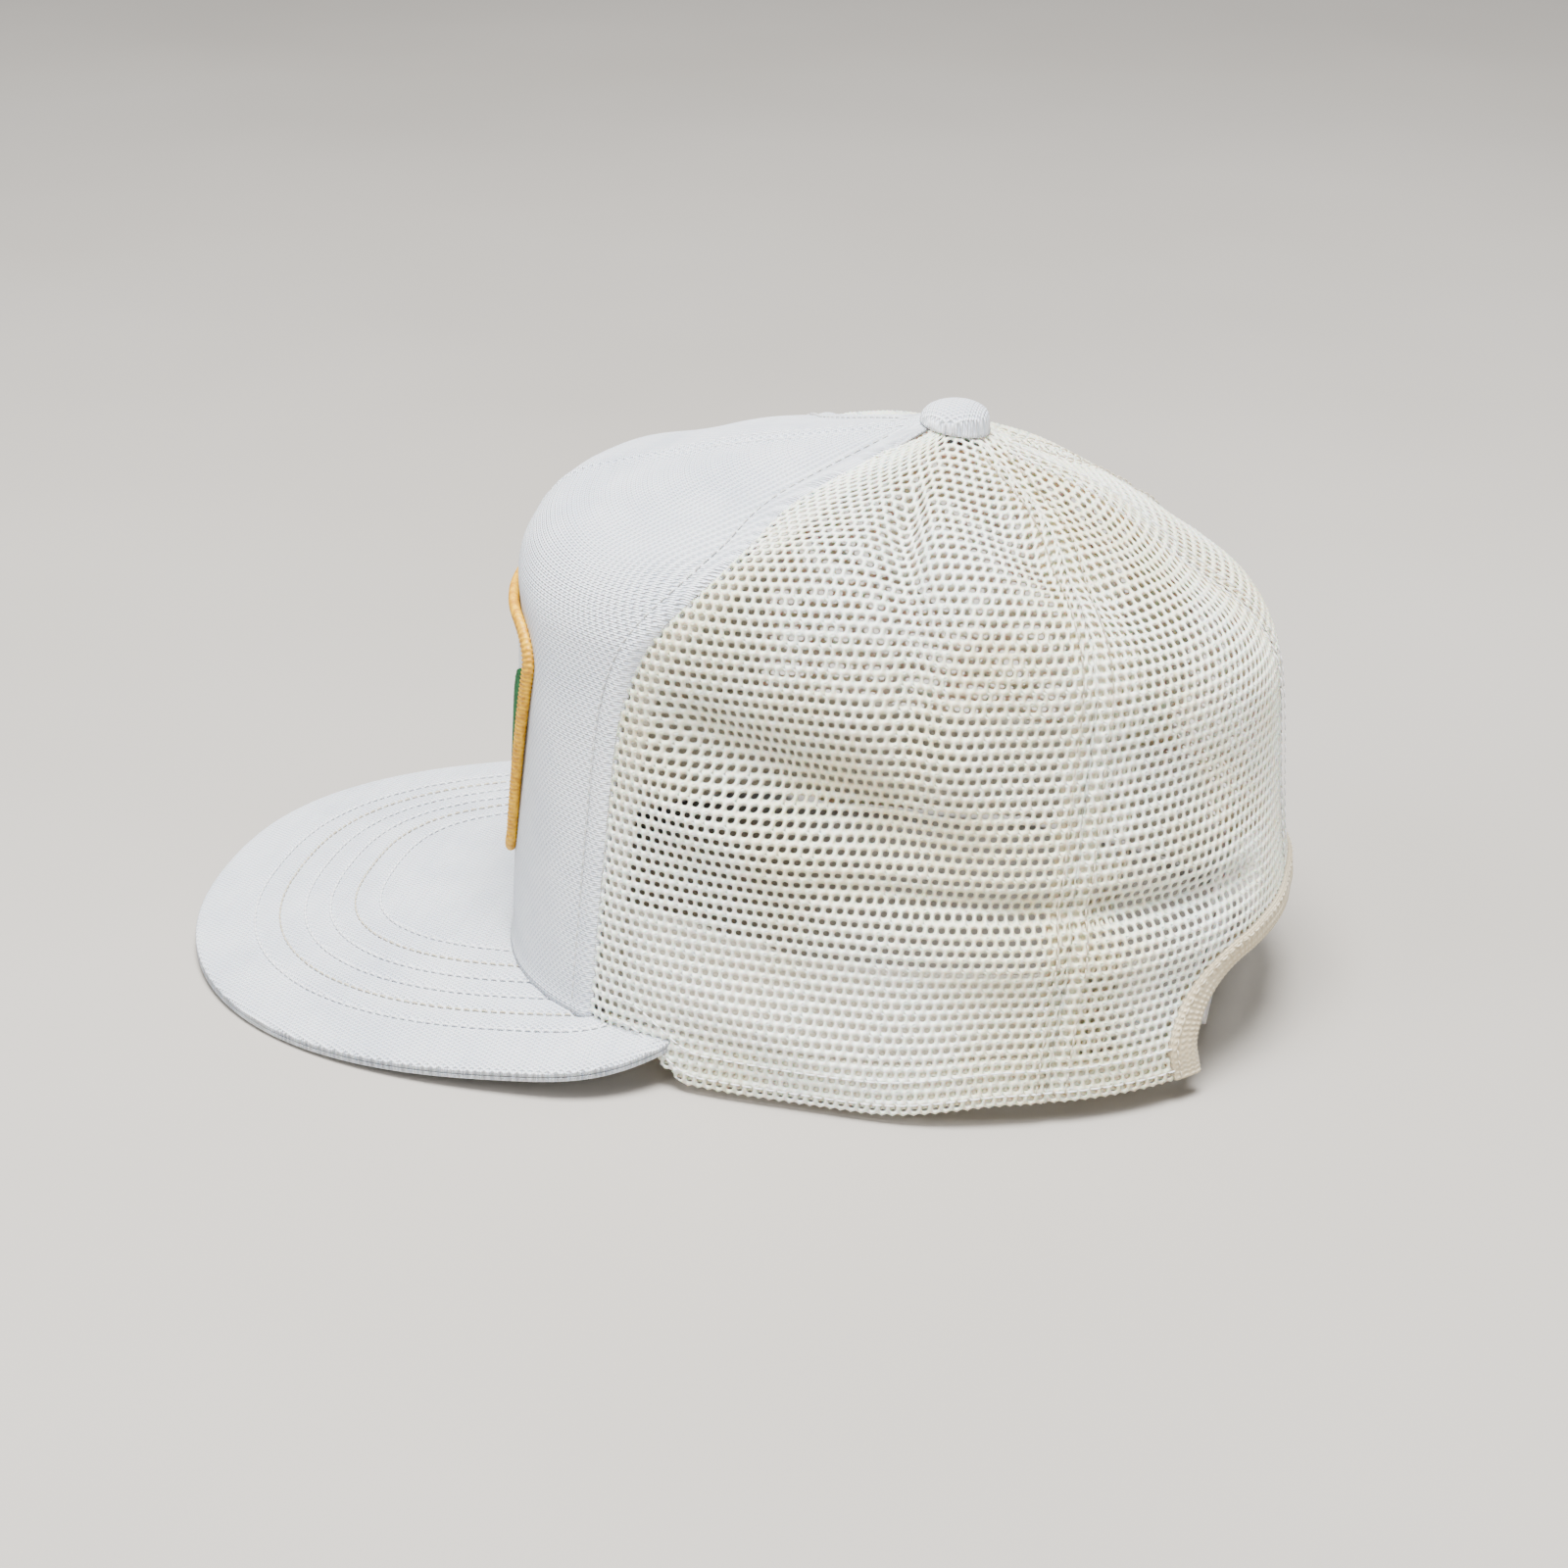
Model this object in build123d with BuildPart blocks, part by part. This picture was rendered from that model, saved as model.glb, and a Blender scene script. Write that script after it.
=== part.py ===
"""Trucker mesh cap, in millimetres.

Frame: +Z up, the visor points to -Y, +X is the wearer's left. The origin is the centre of the head
opening, on the plane that the cap rests on. The crown is a dome about the button axis, and its
shape is a set of meridians: a straight slope from the button, a rounded shoulder and a leaning wall.
Azimuth 0 is the front, 90 the wearer's left and 180 the back.
"""
import math
import os

from build123d import *

os.makedirs("parts", exist_ok=True)

# ---- crown -------------------------------------------------------------------------------------
AXIS_Y = 10.0  # the button axis, behind the centre of the head opening
CROWN_HEIGHT = 142.0  # outside, where the slopes meet under the button
HALF_WIDTH = 80.0
FRONT_REACH = 106.0  # from the button axis to the foot of the front
BACK_REACH = 87.0
FRONT_SQUARENESS = 2.8  # superellipse exponent of the boxy front
BACK_SQUARENESS = 2.1
EYELET_RADIUS = 2.4  # where the panel tips stop, around the button's shank

FRONT_SEAM = 44.0  # azimuth of the seam between front and side panels
REAR_SEAM = 118.0  # azimuth of the seam between side and rear panels

FABRIC = 0.9  # knit face fabric
FOAM = 2.2
MESH = 0.9
TAPE = 0.7
TAPE_START = 16.0  # distance of the tapes from the button axis
TAPE_SPREAD = 26.0  # degrees each side, wide enough for a tape near the button
LAYER_GAP = 0.15
STATION = 6.0  # degrees between the sections of a layer, at most
SEAM_GAP = 0.04  # degrees, half the gap between neighbouring panels
BLOCK = 60.0  # length of the cutting blocks, past whatever they cut

# ---- visor -------------------------------------------------------------------------------------
TIP_Y = -181.0
VISOR_WIDEST_Y = -77.5
VISOR_HALF_WIDTH = 88.0
VISOR_SQUARENESS = 2.35
VISOR_END_Y = -47.5
VISOR_END_X = 73.0
VISOR_SLOPE = 4.8  # degrees, nose down
VISOR_CAMBER_RADIUS = 500.0
VISOR_TIP_TOP = 3.8
VISOR_THICKNESS = 3.6
VISOR_COVER = 0.7
VISOR_WRAP = 1.6  # depth of the covers' rolled edge around the board

# ---- rear opening and snap straps --------------------------------------------------------------
ARCH_HALF_WIDTH = 52.0
ARCH_HEIGHT = 28.0
ARCH_CORNER = 18.0
BINDING_WIDTH = 5.5
STRAP_ROOT_AZIMUTH = 145.5
STRAP_HEIGHT = 15.0
STRAP_FOOT = 3.5
STRAP_THICKNESS = 1.6
STRAP_SPACE = 0.4  # between the closed straps
STRAP_TIP_X = 31.0
SNAP_PITCH = 9.5
SNAP_COUNT = 6
PEG_RADIUS = 2.3
HOLE_RADIUS = 2.75

# ---- sweatband and hem -------------------------------------------------------------------------
BAND_HEIGHT = 32.0
BAND_THICKNESS = 0.9
BAND_OFFSET = 3.6
BAND_FRONT_FOOT = 7.5
BAND_SIDE_FOOT = 1.0
BAND_END_AZIMUTH = 140.0
HEM_HEIGHT = 13.0

# ---- button and patch --------------------------------------------------------------------------
BUTTON_RADIUS = 8.2
BUTTON_HEIGHT = 5.0
PATCH_WIDTH = 89.4  # across the top; the sides lean in towards the foot
PATCH_FOOT_WIDTH = 71.0
PATCH_HEIGHT = 66.0
PATCH_FOOT = 33.0
PATCH_TOP_CORNER = 13.0
PATCH_FOOT_CORNER = 5.0
PATCH_BORDER = 3.2


def superellipse(angle, across, along, exponent):
    """Distance from the centre to a superellipse, in the direction of an angle from the Y axis."""
    a = abs(math.sin(angle)) / across
    b = abs(math.cos(angle)) / along
    return (a**exponent + b**exponent) ** (-1 / exponent)


def foot_radius(azimuth):
    """Outside radius of the crown on the resting plane."""
    angle = math.radians(azimuth)
    if math.cos(angle) > 0:
        return superellipse(angle, HALF_WIDTH, FRONT_REACH, FRONT_SQUARENESS)
    return superellipse(angle, HALF_WIDTH, BACK_REACH, BACK_SQUARENESS)


def wave(azimuth, mean, front_back, front_side):
    """A smooth value around the crown."""
    angle = math.radians(azimuth)
    return mean + front_back * math.cos(angle) + front_side * math.cos(2 * angle)


def slope(azimuth):
    return wave(azimuth, 21.7, -7.3, 0.9)


def shoulder(azimuth):
    return wave(azimuth, 29.0, -5.0, -5.0)


def lean(azimuth):
    return wave(azimuth, 8.3, -1.3, -3.7)


def radial_plane(azimuth):
    """The half plane at an azimuth: its local x runs outward from the button axis, its y runs up."""
    angle = math.radians(azimuth)
    outward = (math.sin(angle), -math.cos(angle), 0)
    return Plane(origin=(0, AXIS_Y, 0), x_dir=outward, z_dir=(-math.cos(angle), -math.sin(angle), 0))


def meridian(azimuth, depth):
    """Start, first tangent point, middle, second tangent point and foot direction of a meridian.

    The meridian lies at a depth inside the crown's outer surface, as points (radius, height).
    """
    top = math.radians(slope(azimuth))
    wall = math.radians(lean(azimuth))
    height = CROWN_HEIGHT - depth / math.cos(top)
    reach = foot_radius(azimuth) - depth / math.cos(wall)
    corner_r = (reach - height * math.tan(wall)) / (1 - math.tan(top) * math.tan(wall))
    corner_z = height - corner_r * math.tan(top)
    turn = math.pi / 2 - top - wall
    radius = shoulder(azimuth) - depth
    cut = radius * math.tan(turn / 2)
    start = (EYELET_RADIUS, height - EYELET_RADIUS * math.tan(top))
    first = (corner_r - cut * math.cos(top), corner_z + cut * math.sin(top))
    second = (corner_r + cut * math.sin(wall), corner_z - cut * math.cos(wall))
    middle_angle = math.pi / 2 - top - turn / 2
    centre = (first[0] - radius * math.sin(top), first[1] - radius * math.cos(top))
    middle = (centre[0] + radius * math.cos(middle_angle), centre[1] + radius * math.sin(middle_angle))
    return start, first, middle, second, reach


def wall_point(azimuth, depth, height):
    """A point (radius, height) on the leaning wall."""
    wall = math.radians(lean(azimuth))
    reach = foot_radius(azimuth) - depth / math.cos(wall)
    return reach - height * math.tan(wall), height


def shell_wire(azimuth, outer, inner, foot):
    """Draw the closed section of a crown layer between two depths, inside a BuildLine."""
    start, first, middle, second, _ = meridian(azimuth, outer)
    start_in, first_in, middle_in, second_in, _ = meridian(azimuth, inner)
    foot_out = wall_point(azimuth, outer, foot)
    foot_in = wall_point(azimuth, inner, foot)
    Line(start, first)
    ThreePointArc(first, middle, second)
    Line(second, foot_out)
    Line(foot_out, foot_in)
    Line(foot_in, second_in)
    ThreePointArc(second_in, middle_in, first_in)
    Line(first_in, start_in)
    Line(start_in, start)


def steps(begin, end, count):
    return [begin + (end - begin) * i / (count - 1) for i in range(count)]


def stations(begin, end):
    """Azimuths from one to another, no further apart than a station."""
    return steps(begin, end, math.ceil((end - begin) / STATION) + 1)


def crown_layer(begin, end, outer, inner, foot):
    """A layer of the crown between two azimuths and two depths."""
    with BuildPart() as layer:
        for azimuth in stations(begin, end):
            with BuildSketch(radial_plane(azimuth)):
                with BuildLine():
                    shell_wire(azimuth, outer, inner, foot)
                make_face()
        loft()
    return layer.part


def wall_band(begin, end, outer, inner, foot, height):
    """A band on the crown's wall: outer and inner depth and foot are functions of azimuth."""
    with BuildPart() as band:
        for azimuth in stations(begin, end):
            low = foot(azimuth)
            high = low + height
            with BuildSketch(radial_plane(azimuth)):
                with BuildLine():
                    Polyline(
                        wall_point(azimuth, outer(azimuth), low),
                        wall_point(azimuth, outer(azimuth), high),
                        wall_point(azimuth, inner(azimuth), high),
                        wall_point(azimuth, inner(azimuth), low),
                        close=True,
                    )
                make_face()
        loft()
    return band.part


def seam_tape(azimuth, half_width, outer, foot):
    """A tape of constant width behind a seam, following the crown."""
    with BuildPart() as tape:
        add(crown_layer(azimuth - TAPE_SPREAD, azimuth + TAPE_SPREAD, outer, outer + TAPE, foot))
        with BuildSketch(radial_plane(azimuth)):
            with Locations((TAPE_START, 0)):
                Rectangle(120, 160, align=(Align.MIN, Align.MIN))
        extrude(amount=half_width, both=True, mode=Mode.INTERSECT)
    return tape.part


def mirrored(part):
    """The wearer's right copy of a left piece."""
    with BuildPart() as copy:
        mirror(part, about=Plane.YZ)
    return copy.part


def finish(part, label):
    part.label = label
    export_step(part, f"parts/{label}.step")


def finish_pair(part, name):
    finish(part, f"{name}_left")
    finish(mirrored(part), f"{name}_right")


# ---- cutting shapes ----------------------------------------------------------------------------
SLOPE_COS = math.cos(math.radians(VISOR_SLOPE))
SLOPE_SIN = math.sin(math.radians(VISOR_SLOPE))
SLAB_BACK = 150.0  # how far behind the tip the visor slab's drawing plane stands
SLAB_LENGTH = 175.0
SLAB_WIDTH = 220.0
visor_plane = Plane(
    origin=(0, TIP_Y + SLAB_BACK * SLOPE_COS, VISOR_TIP_TOP + SLAB_BACK * SLOPE_SIN),
    x_dir=(1, 0, 0),
    z_dir=(0, -SLOPE_COS, -SLOPE_SIN),
)


def visor_slab(top, bottom):
    """A cambered slab between two depths under the visor's upper surface."""
    edge_drop = VISOR_CAMBER_RADIUS - math.sqrt(VISOR_CAMBER_RADIUS**2 - (SLAB_WIDTH / 2) ** 2)
    half = SLAB_WIDTH / 2
    with BuildPart() as slab:
        with BuildSketch(visor_plane):
            with BuildLine():
                ThreePointArc((-half, -top - edge_drop), (0, -top), (half, -top - edge_drop))
                Line((half, -top - edge_drop), (half, -bottom - edge_drop))
                ThreePointArc((half, -bottom - edge_drop), (0, -bottom), (-half, -bottom - edge_drop))
                Line((-half, -bottom - edge_drop), (-half, -top - edge_drop))
            make_face()
        extrude(amount=SLAB_LENGTH)
    return slab.part


# everything under the visor's upper surface, in front of the visor's ends, and under the floor
with BuildPart() as foot_cut:
    add(visor_slab(0, 40))
    with BuildSketch(Plane.XY.offset(-50)):
        with Locations((0, VISOR_END_Y)):
            Rectangle(300, 200, align=(Align.CENTER, Align.MAX))
    extrude(amount=150, mode=Mode.INTERSECT)
    with Locations((0, 0, -20)):
        Box(400, 400, 40)


ARCH_CROWN = 3.0  # how far the rear opening's top is arched


def arch_block(grow):
    """The rear opening as a block through the back of the crown, grown by a width."""
    half = ARCH_HALF_WIDTH + grow
    top = ARCH_HEIGHT + grow
    side_top = top - ARCH_CROWN
    with BuildPart() as block:
        with BuildSketch(Plane.XZ.offset(-45)) as outline:
            with BuildLine():
                Polyline((half, side_top), (half, -5), (-half, -5), (-half, side_top))
                ThreePointArc((-half, side_top), (0, top), (half, side_top))
            make_face()
            fillet(outline.vertices().group_by(Axis.Y)[-1], radius=ARCH_CORNER + grow)
        extrude(amount=-80)
    return block.part


arch = arch_block(0)

# ---- crown panels ------------------------------------------------------------------------------
LAYER_FOOT = -2.0  # layers are drawn a little long and trimmed flat

with BuildPart() as front_panel:
    add(crown_layer(SEAM_GAP, FRONT_SEAM - SEAM_GAP, 0, FABRIC, LAYER_FOOT))
    add(foot_cut.part, mode=Mode.SUBTRACT)
finish_pair(front_panel.part, "front_panel")

FOAM_OUT = FABRIC + LAYER_GAP
FOAM_IN = FOAM_OUT + FOAM
with BuildPart() as front_foam:
    add(crown_layer(SEAM_GAP, FRONT_SEAM - 1.5, FOAM_OUT, FOAM_IN, LAYER_FOOT))
    add(foot_cut.part, mode=Mode.SUBTRACT)
    with Locations((0, AXIS_Y, CROWN_HEIGHT)):
        Cylinder(radius=BUTTON_RADIUS + 2, height=BLOCK, mode=Mode.SUBTRACT)
finish_pair(front_foam.part, "front_foam")

with BuildPart() as side_mesh:
    add(crown_layer(FRONT_SEAM + SEAM_GAP, REAR_SEAM - SEAM_GAP, 0, MESH, LAYER_FOOT))
    add(foot_cut.part, mode=Mode.SUBTRACT)
finish_pair(side_mesh.part, "side_mesh")

with BuildPart() as rear_mesh:
    add(crown_layer(REAR_SEAM + SEAM_GAP, 180 - SEAM_GAP, 0, MESH, LAYER_FOOT))
    add(foot_cut.part, mode=Mode.SUBTRACT)
    add(arch, mode=Mode.SUBTRACT)
finish_pair(rear_mesh.part, "rear_mesh")

# ---- seam tapes --------------------------------------------------------------------------------
BEHIND_FOAM = FOAM_IN + LAYER_GAP
BEHIND_MESH = MESH + LAYER_GAP
HEM_CLEAR = HEM_HEIGHT + 0.5

with BuildPart() as front_centre_tape:
    add(seam_tape(0, 6, BEHIND_FOAM, 9))
    add(foot_cut.part, mode=Mode.SUBTRACT)
finish(front_centre_tape.part, "front_centre_tape")

with BuildPart() as front_side_tape:
    add(seam_tape(FRONT_SEAM, 6, BEHIND_FOAM, 9))
    add(foot_cut.part, mode=Mode.SUBTRACT)
finish_pair(front_side_tape.part, "front_side_tape")

with BuildPart() as side_rear_tape:
    add(seam_tape(REAR_SEAM, 7, BEHIND_MESH, HEM_CLEAR))
finish_pair(side_rear_tape.part, "side_rear_tape")

with BuildPart() as rear_centre_tape:
    add(seam_tape(180, 6, BEHIND_MESH, ARCH_HEIGHT + BINDING_WIDTH + 1))
finish(rear_centre_tape.part, "rear_centre_tape")

# ---- hem, sweatband and the binding of the rear opening ----------------------------------------
TAPE_OUT = MESH + LAYER_GAP
HEM_BEGIN = 66.0
HEM_END = 143.0
BINDING_BEGIN = 132.0  # azimuth outside the opening's side


def tape_outer(azimuth):
    return TAPE_OUT


def tape_inner(azimuth):
    return TAPE_OUT + TAPE


def floor_foot(azimuth):
    return 0.0


with BuildPart() as hem_tape:
    add(wall_band(HEM_BEGIN, HEM_END, tape_outer, tape_inner, floor_foot, HEM_HEIGHT))
    add(arch_block(BINDING_WIDTH + 0.2), mode=Mode.SUBTRACT)
finish_pair(hem_tape.part, "hem_tape")

with BuildPart() as binding_half:
    band_top = ARCH_HEIGHT + BINDING_WIDTH + 4
    add(wall_band(BINDING_BEGIN, 180, tape_outer, tape_inner, floor_foot, band_top))
    add(arch_block(BINDING_WIDTH), mode=Mode.INTERSECT)
    add(arch, mode=Mode.SUBTRACT)
with BuildPart() as back_opening_binding:
    add(binding_half.part)
    mirror(binding_half.part, about=Plane.YZ)
finish(back_opening_binding.part, "back_opening_binding")


def blend(value, low, high):
    """0 below low, 1 above high, smooth between."""
    t = min(max((value - low) / (high - low), 0.0), 1.0)
    return t * t * (3 - 2 * t)


BAND_FRONT_DEPTH = BAND_OFFSET + 0.7
BAND_SIDE_DEPTH = BAND_OFFSET - 1.2
BAND_END_DEPTH = BAND_OFFSET + 0.5


def band_depth(azimuth):
    """The sweatband lies behind the foam in front and behind the strap roots at its ends."""
    to_side = (BAND_SIDE_DEPTH - BAND_FRONT_DEPTH) * blend(azimuth, 50, 76)
    to_end = (BAND_END_DEPTH - BAND_SIDE_DEPTH) * blend(azimuth, 116, 130)
    return BAND_FRONT_DEPTH + to_side + to_end


def band_back(azimuth):
    return band_depth(azimuth) + BAND_THICKNESS


def band_foot(azimuth):
    return BAND_FRONT_FOOT + (BAND_SIDE_FOOT - BAND_FRONT_FOOT) * blend(azimuth, 48, 80)


with BuildPart() as band_half:
    add(wall_band(0, BAND_END_AZIMUTH, band_depth, band_back, band_foot, BAND_HEIGHT))
with BuildPart() as sweatband:
    add(band_half.part)
    mirror(band_half.part, about=Plane.YZ)
finish(sweatband.part, "sweatband")

# ---- visor -------------------------------------------------------------------------------------
ROOT_SPREAD = 76.0  # azimuth past the visor's ends, each side
ROOT_DEPTH = BAND_OFFSET + 0.5  # the visor's root reaches the sweatband
ROOT_HEIGHT = 9.0
ROOT_POINTS = 17
EDGE_POINTS = 7
CORNER_OUT = 3.5  # how far the rear corner's arc bulges past its chord, across and back
CORNER_BACK = 6.0


def visor_edge(inset, count):
    """Points along the visor's front edge, from its widest place on the left to the tip."""
    points = []
    for i in reversed(range(count)):
        angle = math.pi / 2 * i / (count - 1)
        length = VISOR_WIDEST_Y - TIP_Y - inset
        reach = superellipse(angle, VISOR_HALF_WIDTH - inset, length, VISOR_SQUARENESS)
        points.append((reach * math.sin(angle), VISOR_WIDEST_Y - reach * math.cos(angle)))
    return points


def front_wall_points(depth, height):
    """Points around the front half of the crown's wall at a depth and a height, left to right."""
    points = []
    for azimuth in steps(ROOT_SPREAD, -ROOT_SPREAD, ROOT_POINTS):
        radius, _ = wall_point(azimuth, depth, height)
        angle = math.radians(azimuth)
        points.append((radius * math.sin(angle), AXIS_Y - radius * math.cos(angle)))
    return points


def visor_blank(inset):
    """The visor's outline in plan as a tall block, without the head opening."""
    with BuildPart() as blank:
        with BuildSketch(Plane.XY.offset(-10)):
            left = visor_edge(inset, EDGE_POINTS)
            right = [(-x, y) for x, y in reversed(left)]
            end_x = VISOR_END_X - inset
            end_y = VISOR_END_Y - inset
            corner_x = (left[0][0] + end_x) / 2 + CORNER_OUT
            corner_y = (VISOR_WIDEST_Y + end_y) / 2 + CORNER_BACK
            with BuildLine():
                Spline(*left, *right[1:], tangents=[(0, -1), (0, 1)])
                ThreePointArc(left[0], (corner_x, corner_y), (end_x, end_y))
                Line((end_x, end_y), (-end_x, end_y))
                ThreePointArc((-end_x, end_y), (-corner_x, corner_y), right[-1])
            make_face()
        extrude(amount=BLOCK)
        with BuildSketch(Plane.XY.offset(-10)):
            with BuildLine():
                wall = front_wall_points(ROOT_DEPTH, ROOT_HEIGHT)
                Spline(*wall)
                Line(wall[-1], wall[0])
            make_face()
        extrude(amount=BLOCK, mode=Mode.SUBTRACT)
    return blank.part


blank = visor_blank(0)
MIDDLE = VISOR_THICKNESS / 2

with BuildPart() as visor_board:
    add(visor_slab(VISOR_COVER, VISOR_THICKNESS - VISOR_COVER))
    add(visor_blank(VISOR_WRAP), mode=Mode.INTERSECT)
finish(visor_board.part, "visor_board")

with BuildPart() as visor_top_cover:
    add(visor_slab(0, MIDDLE))
    add(blank, mode=Mode.INTERSECT)
    add(visor_board.part, mode=Mode.SUBTRACT)
finish(visor_top_cover.part, "visor_top_cover")

with BuildPart() as visor_under_cover:
    add(visor_slab(MIDDLE, VISOR_THICKNESS))
    add(blank, mode=Mode.INTERSECT)
    add(visor_board.part, mode=Mode.SUBTRACT)
finish(visor_under_cover.part, "visor_under_cover")

# ---- button ------------------------------------------------------------------------------------
SHANK_RADIUS = 1.6
UNDER_BUTTON = CROWN_HEIGHT + 0.15
button_fall = BUTTON_RADIUS * math.tan(math.radians(slope(0)))

with BuildPart() as button_shell:
    with BuildSketch(Plane.XZ):
        with BuildLine():
            rim = (BUTTON_RADIUS, UNDER_BUTTON - button_fall + 0.9)
            top = (0, UNDER_BUTTON + BUTTON_HEIGHT)
            shoulder_point = (BUTTON_RADIUS * 0.72, UNDER_BUTTON + BUTTON_HEIGHT * 0.66)
            ThreePointArc(top, shoulder_point, rim)
            Polyline(rim, (BUTTON_RADIUS - 0.3, UNDER_BUTTON - button_fall), (0, UNDER_BUTTON), top)
        make_face()
    revolve(axis=Axis.Z)
    with Locations((0, 0, UNDER_BUTTON)):
        Cylinder(SHANK_RADIUS + 0.05, 4.0, mode=Mode.SUBTRACT)
finish(button_shell.part.moved(Location((0, AXIS_Y, 0))), "button_shell")

WASHER_DROP = 6.2
WASHER_RADIUS = 6.5
with BuildPart() as button_rivet:
    with Locations((0, AXIS_Y, CROWN_HEIGHT - WASHER_DROP)):
        Cylinder(WASHER_RADIUS, 0.9, align=(Align.CENTER, Align.CENTER, Align.MAX))
        Cylinder(SHANK_RADIUS, WASHER_DROP + 2.0, align=(Align.CENTER, Align.CENTER, Align.MIN))
    fillet(button_rivet.edges().group_by(Axis.Z)[0], radius=0.35)
finish(button_rivet.part, "button_rivet")

# ---- patch -------------------------------------------------------------------------------------
PATCH_GROUND = 1.0
BORDER_HEIGHT = 2.2
MOTIF_HEIGHT = 0.7
PATCH_SPREAD = 28.0  # azimuth past the patch's side
PATCH_BULGE = 4.0  # rise of the patch's top edge


def on_front(outer, inner):
    """A skin over the front panels, between two heights above them."""
    return crown_layer(-PATCH_SPREAD, PATCH_SPREAD, -outer, -inner, PATCH_FOOT - 15)


def patch_block(inset):
    """The patch's outline as a block along Y."""
    half = PATCH_WIDTH / 2 - inset
    foot_half = PATCH_FOOT_WIDTH / 2 - inset
    with BuildPart() as block:
        with BuildSketch(Plane.XZ.offset(BLOCK)) as outline:
            with BuildLine():
                low = PATCH_FOOT + inset
                high = PATCH_FOOT + PATCH_HEIGHT - inset
                side_high = high - PATCH_BULGE
                Polyline((half, side_high), (foot_half, low), (-foot_half, low), (-half, side_high))
                ThreePointArc((-half, side_high), (0, high), (half, side_high))
            make_face()
            fillet(outline.vertices().group_by(Axis.Y)[-1], radius=PATCH_TOP_CORNER - inset)
            fillet(outline.vertices().group_by(Axis.Y)[0], radius=PATCH_FOOT_CORNER - inset)
        extrude(amount=BLOCK)
    return block.part


ground_skin = on_front(PATCH_GROUND, LAYER_GAP)
inner_block = patch_block(PATCH_BORDER)

with BuildPart() as patch_ground:
    add(ground_skin)
    add(inner_block, mode=Mode.INTERSECT)
finish(patch_ground.part, "patch_ground")

with BuildPart() as patch_border:
    add(on_front(BORDER_HEIGHT, LAYER_GAP))
    add(patch_block(0), mode=Mode.INTERSECT)
    add(inner_block, mode=Mode.SUBTRACT)
finish(patch_border.part, "patch_border")

motif_skin = on_front(PATCH_GROUND + MOTIF_HEIGHT, PATCH_GROUND + 0.02)
HILL_FOOT = PATCH_FOOT + 5
HILL_HALF = PATCH_FOOT_WIDTH / 2 - PATCH_BORDER - 0.6
HILL_LEFT_TOP = HILL_FOOT + 43
HILL_LEFT_WIDE = PATCH_WIDTH / 2 - PATCH_BORDER - 1.8
HILL_RIGHT_TOP = HILL_FOOT + 10
SUN_RADIUS = 9.0
SUN_HEIGHT = HILL_FOOT + 40

with BuildPart() as patch_hills:
    add(motif_skin)
    with BuildSketch(Plane.XZ.offset(BLOCK)):
        with BuildLine():
            Line((HILL_LEFT_WIDE, HILL_LEFT_TOP), (HILL_HALF, HILL_FOOT))
            Line((HILL_HALF, HILL_FOOT), (-HILL_HALF, HILL_FOOT))
            Line((-HILL_HALF, HILL_FOOT), (-HILL_HALF, HILL_RIGHT_TOP))
            Spline(
                (-HILL_HALF, HILL_RIGHT_TOP),
                (-18, HILL_FOOT + 22),
                (2, HILL_FOOT + 14),
                (22, HILL_FOOT + 22),
                (HILL_LEFT_WIDE, HILL_LEFT_TOP),
            )
        make_face()
    extrude(amount=BLOCK, mode=Mode.INTERSECT)
finish(patch_hills.part, "patch_hills")

with BuildPart() as patch_sun:
    add(motif_skin)
    with BuildSketch(Plane.XZ.offset(BLOCK)):
        with Locations((-3, SUN_HEIGHT)):
            Circle(SUN_RADIUS)
    extrude(amount=BLOCK, mode=Mode.INTERSECT)
finish(patch_sun.part, "patch_sun")

# ---- snap straps -------------------------------------------------------------------------------
ROOT_DEPTH_IN = 2.7
root_radius, _ = wall_point(STRAP_ROOT_AZIMUTH, ROOT_DEPTH_IN, STRAP_FOOT + STRAP_HEIGHT / 2)
root_angle = math.radians(STRAP_ROOT_AZIMUTH)
HINGE_X = root_radius * math.sin(root_angle)
HINGE_Y = AXIS_Y - root_radius * math.cos(root_angle)
STRAP_SHIFT = (STRAP_THICKNESS + STRAP_SPACE) / 2
SNAP_X = [SNAP_PITCH * (i - (SNAP_COUNT - 1) / 2) for i in range(SNAP_COUNT)]
snap_places = [(x, STRAP_FOOT + STRAP_HEIGHT / 2) for x in SNAP_X]


def strap_blank(side, y):
    """A strap from its hinge on one side (+1 left, -1 right) to its tip past the middle."""
    hinge = side * HINGE_X
    tip = -side * STRAP_TIP_X
    with BuildPart() as strap:
        with BuildSketch(Plane.XZ.offset(-(y + STRAP_THICKNESS / 2))) as outline:
            with Locations(((hinge + tip) / 2, STRAP_FOOT + STRAP_HEIGHT / 2)):
                Rectangle(abs(hinge - tip), STRAP_HEIGHT)
            fillet(outline.vertices().sort_by(Axis.X, reverse=side > 0)[-2:], radius=5)
        extrude(amount=STRAP_THICKNESS)
        with Locations((hinge, y, STRAP_FOOT + STRAP_HEIGHT / 2)):
            Cylinder(STRAP_THICKNESS / 2, STRAP_HEIGHT)
    return strap.part


with BuildPart() as snap_strap_holes:
    add(strap_blank(-1, HINGE_Y + STRAP_SHIFT))
    with BuildSketch(Plane.XZ.offset(-(HINGE_Y + 10))):
        with Locations(*snap_places):
            Circle(HOLE_RADIUS)
    extrude(amount=20, mode=Mode.SUBTRACT)
finish(snap_strap_holes.part, "snap_strap_holes")

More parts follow.
